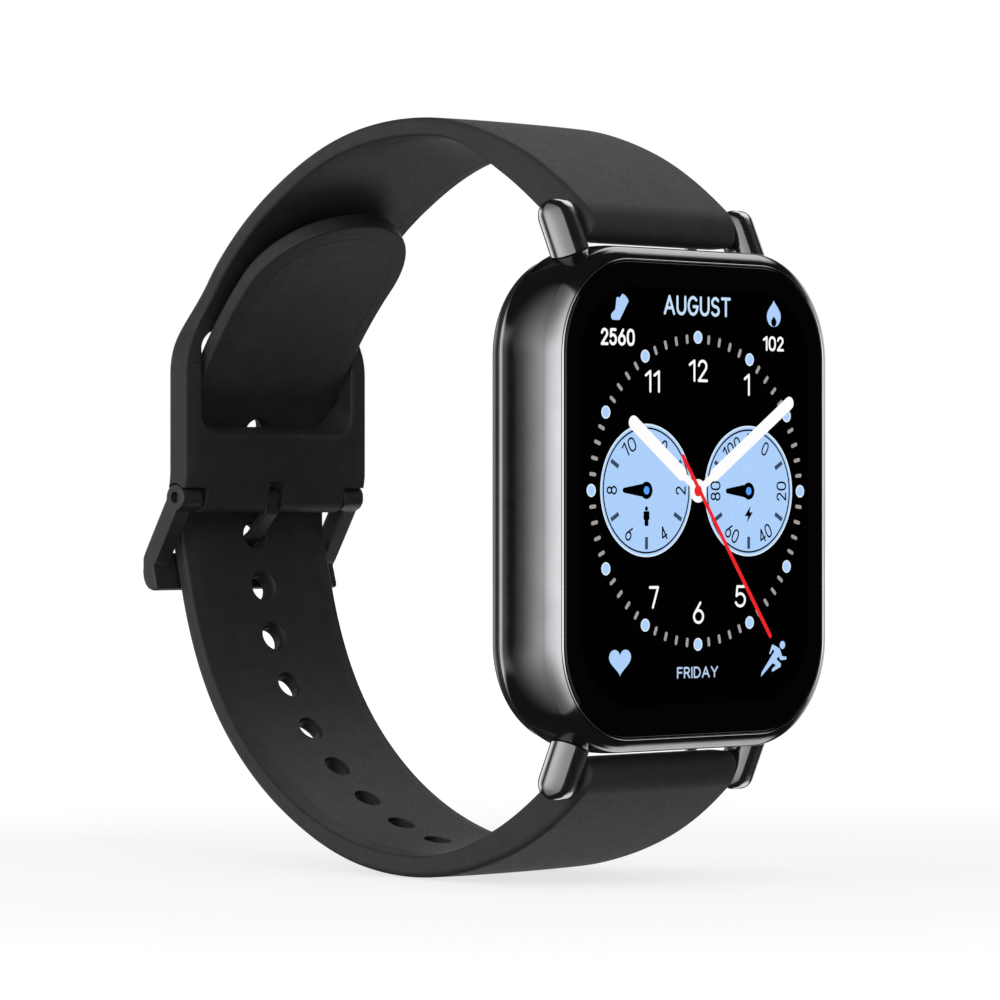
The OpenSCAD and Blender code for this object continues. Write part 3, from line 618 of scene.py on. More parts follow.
class Path:
    """Steps of [length, turn in degrees] in the YZ plane, run on straight past both ends."""

    def __init__(self, y, z, heading, steps, start=0.0):
        self.first, self.steps, self.start = (y, z, heading), steps, start
        self.total = sum(step[0] for step in steps)

    def reach(self, n):
        return sum(step[0] for step in self.steps[:n])

    @staticmethod
    def advance(spot, length, turn):
        y, z, h = spot
        if turn == 0:
            return y + length * cos(h), z + length * sin(h), h
        r = length / math.radians(turn)
        return y + r * (sin(h + turn) - sin(h)), z - r * (cos(h + turn) - cos(h)), h + turn

    def at(self, d):
        """(y, z, heading) at a distance along the path."""
        inside = max(self.start, min(self.total, d))
        spot, left = self.first, inside
        for i, (length, turn) in enumerate(self.steps):
            if left <= length or i == len(self.steps) - 1:
                spot = self.advance(spot, left, turn * left / length)
                break
            spot, left = self.advance(spot, length, turn), left - length
        return self.advance(spot, d - inside, 0)

    def curve(self, name, spare=4.0, spacing=0.1):
        """The path as a curve, and the distance at which it starts."""
        first, last = self.start - spare, self.total + spare
        count = round((last - first) / spacing)
        line = bpy.data.curves.new(name, "CURVE")
        line.dimensions = "3D"
        spline = line.splines.new("POLY")
        spline.points.add(count)
        for i in range(count + 1):
            y, z, _ = self.at(first + (last - first) * i / count)
            spline.points[i].co = (0, y, z, 1)
        thing = bpy.data.objects.new(name, line)
        scene.collection.objects.link(thing)
        return thing, first


def strap_half(half_w, out, inn, crown=0.1, border=2.0):
    """Right half of a strap's section from the middle of the outer face to the middle of the inner one."""
    k = max(0.02, min(1.0, (out + inn) / STRAP_T))
    soft, crisp, drop, slope = 0.7 * k, 0.35 * k, crown * k, 0.2 * k
    flat = half_w - soft
    half = [(flat * q / 8, out - drop * (q / 8) ** 2.4) for q in range(9)]
    half += [(flat + soft * cos(a), out - drop - soft * (1 - sin(a))) for a in (75, 60, 45, 30, 15, 0)]
    low = slope - inn + crisp
    half += [(half_w - crisp * (1 - cos(a)), low - crisp * sin(a)) for a in (0, 22.5, 45, 67.5, 90)]
    crease = max(half_w - border, half_w * 0.55)
    half += [(crease + 0.2, 0.02 * k - inn), (crease + 0.06, 0.06 * k - inn), (crease - 0.06, 0.06 * k - inn)]
    half += [(crease - 0.2, -inn), (crease * 0.66, -inn), (crease * 0.33, -inn), (0.0, -inn)]
    return half


def strap_ring(half, s, swing=0.0):
    """Whole ring of a section at distance s; swing turns both halves forwards about their middle."""
    right = [(u * cos(swing), v, s + u * sin(swing)) for u, v in half]
    return right + [(-u, v, z) for u, v, z in reversed(right[1:-1])]


def wrapped(piece, path, outward):
    line, first = path.curve(piece.name + "_path")
    grow(piece, PATH_TREE, Path=line, Start=first, Outward=outward)
    bpy.data.objects.remove(line)
    clean(piece)
    return piece


def release_slot(name, v, s):
    """Opening for a release pin's knob, in the inner face beside the bar."""
    return slab(name, (KNOB_SLOT[0], v - 6, s - 1.0), (KNOB_SLOT[1], v, s + 1.0))


upper_angle = math.degrees(math.atan2(BAR_Z - LOOP_Z, BAR_Y - LOOP_Y)) - UPPER_START
upper_path = Path(
    LOOP_Y + LOOP_MID_R * cos(upper_angle),
    LOOP_Z + LOOP_MID_R * sin(upper_angle),
    upper_angle - 90,
    [
        (math.radians(upper_angle - KINK) * LOOP_MID_R, KINK - upper_angle),  # arc of the loop
        (math.radians(KINK) * KINK_R, -KINK),  # shoulder of the clasp
        (LOOP_Z + (LOOP_MID_R - KINK_R) * sin(KINK) - CLASP_PIN_Z, 0),  # clasp, down to the pin
    ],
    start=-math.radians(UPPER_START) * LOOP_MID_R,
)
lower_path = Path(
    BAR_Y,
    -BAR_Z,
    LOWER_ANGLE + 90,
    [
        (math.radians(-FLARE - LOWER_ANGLE) * LOWER_R, -FLARE - LOWER_ANGLE),  # arc of the loop
        (FLARE_L, 0),  # straight run behind the buckle
        (math.radians(FLARE) * FLARE_R, FLARE),  # bend to upright
        (SLOT_LOW - TAIL_BEND_DROP - FLARE_END_Z, 0),  # up behind the clasp
        (math.radians(TAIL_LEAN) * TAIL_BEND_R, TAIL_LEAN),  # bend in through the slot
        (TAIL_L, 0),
        (TAIL_END_L, TAIL_END_TURN),  # tail's end, along the inside of the loop
    ],
)


def rounded_slot(x, low, high, r, steps=10):
    """Outline of a rounded rectangle in X and Z."""
    ring = []
    middle = (low + high) / 2
    for i, (sx, sz) in enumerate(CORNERS):
        for k in range(steps + 1):
            a = 90 * i + 90 * k / steps
            ring.append(
                (sx * (x - r) + r * cos(a), middle + sz * ((high - low) / 2 - r) + r * sin(a))
            )
    return ring


def flared(name, outline, half_t, rim=0.4):
    """Cutter through a band, with rims rounded where it meets both faces.

    outline(wider, height) gives its points in X and Z.
    """
    levels = [(-half_t - 1, rim + 1), (-half_t, rim)]
    levels += [(-half_t + rim * (1 - cos(a)), rim * (1 - sin(a))) for a in (22.5, 45, 67.5, 90)]
    levels += [(-v, g) for v, g in reversed(levels)]
    return skin(name, [[(x, v, z) for x, z in outline(g, v)] for v, g in levels])


def build_upper_strap():
    p = upper_path
    rings = []
    for a in range(-88, 0, 8):
        half = BARREL_R * cos(a)
        width = UPPER_W / 2 - 0.5 * (1 - cos(a))
        section = strap_half(width, half - UPPER_BAR_IN, half + UPPER_BAR_IN)
        rings.append(strap_ring(section, p.start + NOSE_L * sin(a)))
    steps = 150
    clasp_from = p.reach(1)
    for i in range(steps + 1):
        d = p.start + (p.total - p.start) * i / steps
        _, z, _ = p.at(d)
        out = inn = ease(STRAP_T / 2, CLASP_T / 2, (d - clasp_from) / 5)
        if d < clasp_from:
            inn = ease(2 * BARREL_R - STRAP_T / 2, STRAP_T / 2, (d + 1.2) / SWELL_L)
        last = swell(PIN_OUT, p.total - 2.6, 2.6, d) - swell(BULGE, clasp_from - 6, 10, d)
        out += swell(BULGE, p.start, 14, d) + swell(UPPER_RISE, 10, 12, d) - swell(UPPER_RISE, 32, 14, d) + last
        inn -= swell(BULGE + UPPER_RISE, 10, 10, d) - swell(UPPER_RISE, 34, 12, d) + last
        width = ease(CLASP_W + 2 * CLASP_SPARE, UPPER_W, (z - SHOULDER_Z) / SHOULDER_L) / 2
        rings.append(strap_ring(strap_half(width, out, inn), d))
    for a in range(8, 92, 8):
        half = CLASP_BARREL_R * cos(a)
        section = strap_half(CLASP_W / 2 + CLASP_SPARE * cos(a), half + PIN_OUT, half - PIN_OUT)
        rings.append(strap_ring(section, p.total + CLASP_BARREL_R * sin(a)))
    strap = skin("strap_upper_band", rings)
    end = p.total

    def slot_outline(wider, v):
        through = (v + CLASP_T / 2) / CLASP_T
        return rounded_slot(
            (TAIL_W + SLOT_SPARE) / 2 + wider,
            end - SLOT_REACH - wider,
            end - SLOT_LOW + CLASP_PIN_Z + wider - ease(*SLOT_LEDGE, through),
            ease(*SLOT_CORNER, through) + wider,
        )

    tools = [
        flared("slot", slot_outline, CLASP_T / 2 - 0.05),
        slab("notch", (-NOTCH_HALF, -6, end - NOTCH_L), (NOTCH_HALF, 6, end + 6)),
        rod("pin bore", *ACROSS, PIN_OUT, end, CLASP_PIN_R + 0.05),
        rod("bar bore", *ACROSS, -UPPER_BAR_IN, p.start, BAR_BORE),
        release_slot("knob slot", -UPPER_BAR_IN, p.start),
    ]
    gap_r = KNUCKLE_R + KNUCKLE_GAP
    arc = [(PIN_OUT + gap_r * cos(a), end + gap_r * sin(a))
           for a in (-42.6, -55, -67, -79, -90, -101, -113, -125, -137.4)]
    gap = [(-6, end + 6), (6, end + 6), (6, end - 1.05)] + arc + [(-6, end - 1.05)]
    for s in (-1, 1):
        tools.append(skin("knuckle gap", [[(s * x, v, d) for v, d in gap] for x in (KNUCKLE_IN - 0.1, 17)]))
    combine(strap, tools)
    wrapped(strap, p, 1.0)
    complete(strap, RUBBER, "upper_strap", "strap_rubber", ["strap_upper"], sharp=38, weighted=True)


def build_lower_strap():
    p = lower_path
    rings = []
    for a in range(-88, 0, 8):
        half = BARREL_R * cos(a)
        rings.append(strap_ring(strap_half(STRAP_W / 2 - 0.5 * (1 - cos(a)), half, half), NOSE_L * sin(a)))
    straight = p.total - TAIL_W / 2
    steps = 200
    for i in range(steps + 1):
        d = straight * i / steps
        y, _, _ = p.at(d)
        half = ease(BARREL_R - 0.05, STRAP_T / 2, d / SWELL_L)
        width = STRAP_W - (STRAP_W - TAIL_W) * max(0, min(1, y / TAPER_Y))
        last = swell(BULGE, p.reach(1) - 16, 16, d)
        out = half + swell(BULGE, 0, 14, d) + swell(LOWER_RISE, 10, 12, d) - swell(LOWER_RISE, 32, 14, d) - last
        inn = half - swell(BULGE, 12, 12, d) + last
        rings.append(strap_ring(strap_half(width / 2, out, inn), d))
    end = strap_half(TAIL_W / 2, STRAP_T / 2, STRAP_T / 2)
    rings += [strap_ring(end, straight, a) for a in (4, 8, 13, 18, 24, 30, 37, 44, 51, 58, 65, 72, 78, 84, 90)]
    strap = skin("strap_lower_band", rings)
    prong_hole = p.reach(3) - (FLARE_END_Z - PRONG_HOLE_Z)
    # Rounded at both faces, with a shallow step half-way
    profile = [(-2.2, 0.9), (-1.06, 0.22), (-0.98, 0.09), (-0.86, 0.02), (-0.75, 0), (-0.35, 0), (-0.3, -0.2)]
    profile += [(0.66, -0.2), (0.7, 0), (0.82, 0.02), (0.93, 0.09), (1.02, 0.24), (2.2, 1.1)]
    tool = skin("hole tool", [disc_ring(HOLE_R + wider, v, 36) for v, wider in profile])
    grow(
        tool,
        ROW_TREE,
        Count=HOLES_ABOVE + HOLES_BELOW + 1,
        First=(0.0, 0.0, prong_hole - HOLES_BELOW * HOLE_PITCH),
        Step=(0.0, 0.0, HOLE_PITCH),
    )
    clean(tool)
    tools = [tool, rod("bar bore", *ACROSS, 0, 0, BAR_BORE), release_slot("knob slot", 0, 0)]
    combine(strap, tools)
    wrapped(strap, p, -1.0)
    complete(strap, RUBBER, "lower_strap", "strap_rubber", ["strap_lower"], sharp=38, weighted=True)


# ---------------------------------------------------------------- case


def flank(level):
    return CORNER_R - (level - FLANK_MIDDLE) ** 2 / FLANK_BOW


def flank_points(wider=0.0, steps=26):
    """Outer edge of the frame from above its seam to the rim."""
    levels = [FLANK_FOOT + FLANK_RISE * i / steps for i in range(steps + 1)]
    points = [(flank(level) + wider, level) for level in levels]
    top = flank(levels[-1])
    for a in (5, 10, 15, 20, 25, 30, 35, 40, 45, 50, 55, 60, CROWN_TURN):
        inwards = (top - CROWN_R) * (1 - cos(a)) / (1 - cos(CROWN_TURN))
        points.append((top - inwards + wider, levels[-1] + CROWN_RISE * sin(a) / sin(CROWN_TURN)))
    return points


def pill(x, length, r, steps=12):
    """Stadium outline on the right flank, along Z."""
    ring = []
    for s, first in ((1, 0), (-1, 180)):
        for k in range(steps + 1):
            a = first + 180 * k / steps
            ring.append((x, -BUTTON_LEVEL + r * cos(a), s * (length / 2 - r) + r * sin(a)))
    return ring


def build_case():
    # Seam and its bevel, flank, groove for the bead, ledge for the glass, and back down inside
    outer = [(INNER_R, FRAME_LEVEL, 0), (SEAM_R, FRAME_LEVEL, 0.08), (10.397, 3.55, 0.14)]
    outer += [(a, b, 0) for a, b in flank_points()]
    outer += [(9.47, 10.98, 0), (9.45, 10.84, 0), (GLASS_R + 0.03, LEDGE_TOP, 0)]
    outer += [(LEDGE_R, LEDGE_TOP, 0), (LEDGE_R, LEDGE_BOTTOM, 0), (INNER_R, LEDGE_BOTTOM, 0)]
    shell = skin("case_shell", [case_ring(a, b) for a, b in fillet(outer)], joined=True)
    sound = rod("sound tool", *FLANK_CUT, 0, 0, SPEAKER_R, sides=20)
    grow(
        sound,
        ROW_TREE,
        Count=SPEAKER_COUNT,
        First=(0.0, -BUTTON_LEVEL, SPEAKER_Z - SPEAKER_PITCH * (SPEAKER_COUNT - 1) / 2),
        Step=(0.0, 0.0, SPEAKER_PITCH),
    )
    clean(sound)
    opening = skin("button opening", [pill(x, BUTTON_L + 0.36, BUTTON_R + 0.18) for x in FLANK_CUT])
    combine(shell, [sound, opening, rod("mic tool", *FLANK_CUT, -BUTTON_LEVEL, MIC_Z, MIC_R, sides=20)])
    complete(shell, CHROME, "case", "case_metal", ["case_frame"], weighted=True)
    rings = [case_ring(BEAD_REACH + 0.1 * cos(a), BEAD_LEVEL + 0.16 * sin(a)) for a in range(0, 360, 20)]
    bead = skin("rim_bead", rings, joined=True)
    complete(bead, BRIGHT, "case", "case_metal", sharp=60)


def build_glass():
    shoulder = BODY_T - GLASS_EDGE
    edge = [(GLASS_R - 0.15, GLASS_LEVEL), (GLASS_R, GLASS_LEVEL + 0.12), (GLASS_R, shoulder)]
    edge += [(GLASS_R - 0.3 * (1 - cos(a)), shoulder + GLASS_EDGE * sin(a)) for a in (15, 30, 45, 60, 75, 84)]
    edge += [(GLASS_R - 0.36, BODY_T), (GLASS_R - 0.8, BODY_T)]
    glass = skin("cover_glass_pane", [case_ring(a, b) for a, b in edge])
    complete(glass, GLASS, "case", "cover_glass", ["cover_glass"], sharp=40)


def lug_ring(t, half_w, half_d, r, sx, sz):
    """Section of a lug at a distance t from the spring bar towards the case."""
    ring = []
    steps = 12
    for i, (a, b) in enumerate(CORNERS):
        bend = r if a > 0 else 0.8 * r
        for k in range(steps + 1):
            turn = 90 * i + 90 * k / steps
            x = a * (half_w - bend) + bend * cos(turn) + LUG_OUT
            d = b * (half_d - bend) + bend * sin(turn) + LUG_FORWARD
            y = BAR_Y - t * sin(LUG_LEAN) - d * cos(LUG_LEAN)
            z = BAR_Z - t * cos(LUG_LEAN) + d * sin(LUG_LEAN)
            ring.append((sx * (LUG_X + x), y, sz * z))
    return ring


def build_lugs():
    for sz, height in ((1, "upper"), (-1, "lower")):
        for sx, side in ((-1, "left"), (1, "right")):
            # Rounded tip, then the straight part into the case
            rings = []
            for a in (88, 82, 75, 67, 59, 51, 43, 35, 27, 19, 10, 0):
                half_w, half_d = LUG_HALF_W - 1.25 * (1 - cos(a)), LUG_HALF_D * cos(a)
                rings.append(lug_ring(-LUG_D / 2 * sin(a), half_w, half_d, min(LUG_BEND, half_d * 0.98), sx, sz))
            rings += [lug_ring(t, LUG_HALF_W, LUG_HALF_D, LUG_BEND, sx, sz) for t in (0.8, 1.8, 3, 4.5, 6)]
            lug = skin(f"lug_post_{height}_{side}", rings)
            edge = [(9.0, FRAME_LEVEL - 1), (10.5, FRAME_LEVEL - 0.1)] + flank_points(0.1, 10) + [(8.8, 11.3)]
            case_form = skin("case side", [case_ring(a, b) for a, b in edge])
            inner = sorted((sx * 9, sx * 12.45))
            combine(lug, [case_form, rod("tip bore", *inner, BAR_Y, sz * BAR_Z, 0.45, 20)])
            # Thin collar joining the post to the case; its dark seal rubber is painted shade, so the seam reads as a
            # dark recess
            seam_shade_collar = skin(
                f"lug_gasket_{height}_{side}",
                [lug_ring(t, LUG_W / 2 + 0.03, LUG_D / 2 + 0.04, 1.6, sx, sz) for t in (2.2, 4.6, 5.6)],
            )
            complete(lug, LUG_CHROME, "case", "case_metal", [f"lug_{height}_{side}"], sharp=40, weighted=True)
            # dark finish on the collar: painted shade in the seam between lug and case
            complete(seam_shade_collar, SEAL, "case", "seal")


def build_back():
    # Lip inside the case, seam, rounded edge, flat back, island cone and the seat of the window
    loops = [case_ring(LIP_IN, FLOOR_LEVEL), case_ring(LIP_IN, LIP_TOP)]
    loops += [case_ring(LIP_OUT, LIP_TOP), case_ring(LIP_OUT, COVER_LEVEL)]
    loops += [case_ring(SEAM_R - 0.06, COVER_LEVEL), case_ring(SEAM_R, COVER_LEVEL - 0.06)]
    for a in range(-4, -90, -8):
        reach, level = SEAM_R - BACK_ROUND * (1 - cos(a)), COVER_LEVEL - 0.2 + BACK_ROUND * sin(a)
        loops.append(case_ring(reach, level))
    loops += [case_ring(SEAM_R - BACK_ROUND, BACK_LEVEL), case_ring(SEAM_R - 2.4, BACK_LEVEL)]
    cone = [(ISLAND_R + 0.35, BACK_LEVEL), (ISLAND_R + 0.12, BACK_LEVEL - 0.04), (ISLAND_R - 0.06, BACK_LEVEL - 0.16)]
    cone += [(ISLAND_R - 0.78, ISLAND_LEVEL + 0.12), (ISLAND_R - 0.95, ISLAND_LEVEL + 0.02)]
    cone += [(ISLAND_R - 1.15, ISLAND_LEVEL), (WINDOW_R + 0.22, ISLAND_LEVEL), (WINDOW_R + 0.09, ISLAND_LEVEL + 0.05)]
    cone += [(WINDOW_R + 0.05, ISLAND_LEVEL + 0.15), (WINDOW_R + 0.05, 1.5), (8.5, 1.5), (8.5, FLOOR_LEVEL)]
    loops += [round_ring(r, level) for r, level in cone]
    back = skin("back_shell", loops, joined=True)
    well = ((-3.6, 0), (-1.45, 0), (-1.32, 0.03), (-1.2, 0.2))
    wells = skin("pin well", [disc_ring(PIN_R + 0.03 + wider, y, 40) for y, wider in well])
    grow(wells, ROW_TREE, Count=2, First=(-PIN_X, 0.0, PIN_Z), Step=(2 * PIN_X, 0.0, 0.0))
    clean(wells)
    combine(back, [wells])
    complete(back, BACK_SHELL, "case", "back_shell", ["back_cover"], weighted=True)

    levels = [(0.0, 0.0), (WINDOW_R - 0.75, 0.0), (WINDOW_R - 0.5, 0.04), (WINDOW_R - 0.2, 0.16)]
    levels += [(WINDOW_R, 0.42), (WINDOW_R, 1.5)]
    window = skin("sensor_window_lens", [round_ring(max(r, 0.4), level) for r, level in levels])
    complete(window, SENSOR_GLASS, "case", "sensor_glass", ["sensor_window"])

    # Printed ring and sensor openings, just proud of the window
    proud, deep = 0.004, -0.2
    for name, r, rz, count, radius, first, finish, slot in (
        ("sensor_openings", 1.35, 1.35, 4, 5.2, 45, PANEL, "sensor_glass"),
        ("sensor_lamp_openings", 0.95, 0.75, 3, 1.76, 90, LED, "led"),
    ):
        opening = skin(name, [disc_ring(r, y, 24, rz) for y in (proud, deep)])
        grow(opening, ROUND_TREE, Count=count, Radius=radius, First=math.radians(first),
             Step=math.radians(360 / count), Middle=(0.0, 0.0, 0.0))
        complete(opening, finish, "case", slot)
    edges = ((7.7, deep), (7.7, proud), (7.95, proud), (7.95, deep))
    ring = skin("sensor_ring", [disc_ring(r, y, 72) for r, y in edges], joined=True)
    complete(ring, STEEL, "case", "sensor_glass")


def build_button():
    loops = [(18.0, 0.0), (19.9, 0.0)]
    loops += [(BUTTON_OUT - 0.3 + 0.3 * sin(a), 0.3 * (1 - cos(a))) for a in (0, 18, 36, 54, 72, 90)]
    button = skin("side_button_cap", [pill(x, BUTTON_L - 2 * g, BUTTON_R - g) for x, g in loops])
    complete(button, BUTTON_METAL, "button", "button_metal", ["side_button"], sharp=40)


# ---------------------------------------------------------------- clasp


def strap_face(z):
    """Y of the lower strap's outer face beside the buckle."""
    bend_z = FLARE_END_Z - FLARE_R * sin(FLARE)
    if z > FLARE_END_Z:
        back = 0.0
    elif z > bend_z:
        back = FLARE_R - math.sqrt(FLARE_R**2 - (FLARE_END_Z - z) ** 2)
    else:
        back = FLARE_R * (1 - cos(FLARE)) + (bend_z - z) * math.tan(math.radians(FLARE))
    return TAIL_Y + STRAP_T / 2 / cos(FLARE) - back


# Buckle, measured from its pin: the crossbar's height, its gap to the strap, its outer face, and the arms and prong
BAR_HIGH, BAR_LOW, CROSS_GAP = -5.9, -9.9, 0.3
CROSS_HIGH = strap_face(CLASP_PIN_Z + BAR_HIGH) + CROSS_GAP - CLASP_PIN_Y
CROSS_LOW = strap_face(CLASP_PIN_Z + BAR_LOW) + CROSS_GAP - CLASP_PIN_Y
CROSS_OUT = CROSS_HIGH + 0.95
ARM_W, ARM_T = 2.1, 2 * KNUCKLE_R - 0.75
PRONG_HALF, PRONG_T, EYE_R = 0.9, 0.85, 1.2


def side_form(name, x0, x1, outline):
    """Outline in Y and Z about the buckle pin, drawn across from x0 to x1."""
    return skin(name, [[(x, CLASP_PIN_Y + y, CLASP_PIN_Z + z) for y, z in outline] for x in (x0, x1)])


def capsule(a, b, t, steps=12):
    """Outline of a line with round ends."""
    (ay, az), (by, bz) = a, b
    turn = math.degrees(math.atan2(bz - az, by - ay))
    ring = []
    for (y, z), first in ((b, turn - 90), (a, turn + 90)):
        ring += [
            (y + t / 2 * cos(first + 180 * k / steps), z + t / 2 * sin(first + 180 * k / steps))
            for k in range(steps + 1)
        ]
    return ring


def circle(r, sides=48):
    return [(r * cos(360 * k / sides), r * sin(360 * k / sides)) for k in range(sides)]


def build_buckle():
    cross = [
        (CROSS_HIGH, BAR_HIGH), (CROSS_OUT - 0.3, BAR_HIGH), (CROSS_OUT + 0.3, BAR_HIGH - 0.4),
        (CROSS_OUT + 0.35, BAR_LOW + 1.9), (CROSS_OUT + 0.2, BAR_LOW + 1.2), (CROSS_OUT - 0.1, BAR_LOW + 0.6),
        (CROSS_OUT - 0.6, BAR_LOW + 0.2), (CROSS_OUT - 1.2, BAR_LOW),
        (CROSS_LOW + 0.3, BAR_LOW), (CROSS_LOW, BAR_LOW + 0.3),
    ]
    half = CLASP_W / 2 + CLASP_SPARE
    arm = capsule((0.1, 0), (CROSS_OUT - 0.85, BAR_HIGH - 0.5), ARM_T)
    parts = [side_form("crossbar", -half, half, cross)]
    for s in (-1, 1):
        for label, width, outline in (("arm", ARM_W, arm), ("knuckle", KNUCKLE_L, circle(KNUCKLE_R))):
            parts.append(side_form(label, *sorted((s * half, s * (half - width))), outline))
    frame_piece = join("buckle_frame_shell", parts)
    soften(frame_piece, 0.13, 6)
    tools = [
        rod("pin hole", *ACROSS, CLASP_PIN_Y, CLASP_PIN_Z, CLASP_PIN_R + 0.02),
        side_form(
            "prong rest", -1.1, 1.1,
            [(CROSS_OUT - 3, BAR_HIGH - 1), (CROSS_OUT + 3, BAR_HIGH - 1),
             (CROSS_OUT + 3, BAR_HIGH + 1), (CROSS_OUT - 3, BAR_HIGH + 1)],
        ),
    ]
    combine(frame_piece, tools)
    complete(frame_piece, SATIN_BLACK, "buckle", "buckle_metal", ["buckle_frame"], sharp=50)

    bends = [(-0.65, -0.2), (-0.4, -1.6), (1.9, -4), (CROSS_OUT - 0.5, BAR_HIGH + 0.4)]
    parts = [side_form("eye", -PRONG_HALF, PRONG_HALF, circle(EYE_R))]
    for a, b in zip(bends, bends[1:]):
        parts.append(side_form("shank", -PRONG_HALF, PRONG_HALF, capsule(a, b, PRONG_T)))
    prong = join("buckle_prong_tongue", parts)
    soften(prong, 0.1, 5)
    combine(prong, [rod("prong eye", -5, 5, CLASP_PIN_Y, CLASP_PIN_Z, CLASP_PIN_R + 0.05)])
    complete(prong, SATIN_BLACK, "prong", "buckle_metal", ["buckle_prong"], sharp=50)


# ---------------------------------------------------------------- display


def bow(x, z, rx, rz, first, last, power=2.0):
    """Part of an ellipse, or a squarer one with a higher power."""
    count = max(4, round(abs(last - first) / 15))
    spots = []
    for k in range(count + 1):
        a = first + (last - first) * k / count
        c, s = cos(a), sin(a)
        spots.append(
            (x + rx * math.copysign(abs(c) ** (2 / power), c), z + rz * math.copysign(abs(s) ** (2 / power), s))
        )
    return spots


# Width for a height of 1, and the pen's strokes from corner (0, 0) to corner (1, 1)
GLYPHS = {
    "0": (0.5, [bow(0.5, 0.5, 0.5, 0.5, 0, 360, 2.5)]),
    "1": (0.26, [[(0.0, 0.8), (1.0, 1.0), (1.0, 0.0)]]),
    "2": (0.46, [bow(0.48, 0.73, 0.46, 0.27, 172, -28) + [(0.0, 0.0), (1.0, 0.0)]]),
    "3": (0.46, [bow(0.46, 0.755, 0.44, 0.245, 150, -90) + bow(0.46, 0.265, 0.52, 0.265, 90, -160)]),
    "4": (0.52, [[(0.76, 0.0), (0.76, 1.0), (0.0, 0.27), (1.0, 0.27)]]),
    "5": (0.46, [[(0.9, 1.0), (0.14, 1.0), (0.06, 0.53)] + bow(0.46, 0.32, 0.52, 0.32, 138, -155)]),
    "6": (0.48, [[(0.7, 1.0), (0.08, 0.46)] + bow(0.5, 0.31, 0.5, 0.31, 155, 515)]),
    "7": (0.44, [[(0.0, 1.0), (1.0, 1.0), (0.36, 0.0)]]),
    "8": (0.46, [bow(0.5, 0.76, 0.42, 0.24, 0, 360), bow(0.5, 0.265, 0.5, 0.265, 0, 360)]),
    "A": (0.66, [[(0.0, 0.0), (0.5, 1.0), (1.0, 0.0)], [(0.17, 0.33), (0.83, 0.33)]]),
    "D": (0.58, [[(0.0, 0.0), (0.0, 1.0), (0.36, 1.0)] + bow(0.36, 0.5, 0.64, 0.5, 90, -90) + [(0.0, 0.0)]]),
    "F": (0.44, [[(0.0, 0.0), (0.0, 1.0), (1.0, 1.0)], [(0.0, 0.52), (0.88, 0.52)]]),
    "G": (0.64, [bow(0.5, 0.5, 0.5, 0.5, 44, 330) + [(1.0, 0.46), (0.56, 0.46)]]),
    "I": (0.001, [[(0.0, 0.0), (0.0, 1.0)]]),
    "R": (0.5, [[(0.0, 0.0), (0.0, 1.0), (0.5, 1.0)] + bow(0.5, 0.74, 0.44, 0.26, 90, -90)
                + [(0.0, 0.48)], [(0.52, 0.48), (1.0, 0.0)]]),
    "S": (0.5, [bow(0.5, 0.755, 0.44, 0.245, 28, 270) + bow(0.5, 0.255, 0.5, 0.255, 90, -152)]),
    "T": (0.56, [[(0.0, 1.0), (1.0, 1.0)], [(0.5, 1.0), (0.5, 0.0)]]),
    "U": (0.56, [[(0.0, 1.0), (0.0, 0.36)] + bow(0.5, 0.36, 0.5, 0.36, 180, 360) + [(1.0, 1.0)]]),
    "Y": (0.6, [[(0.0, 1.0), (0.5, 0.46), (1.0, 1.0)], [(0.5, 0.46), (0.5, 0.0)]]),
}


INK_LIFT, INK_STEP = 0.002, 0.005


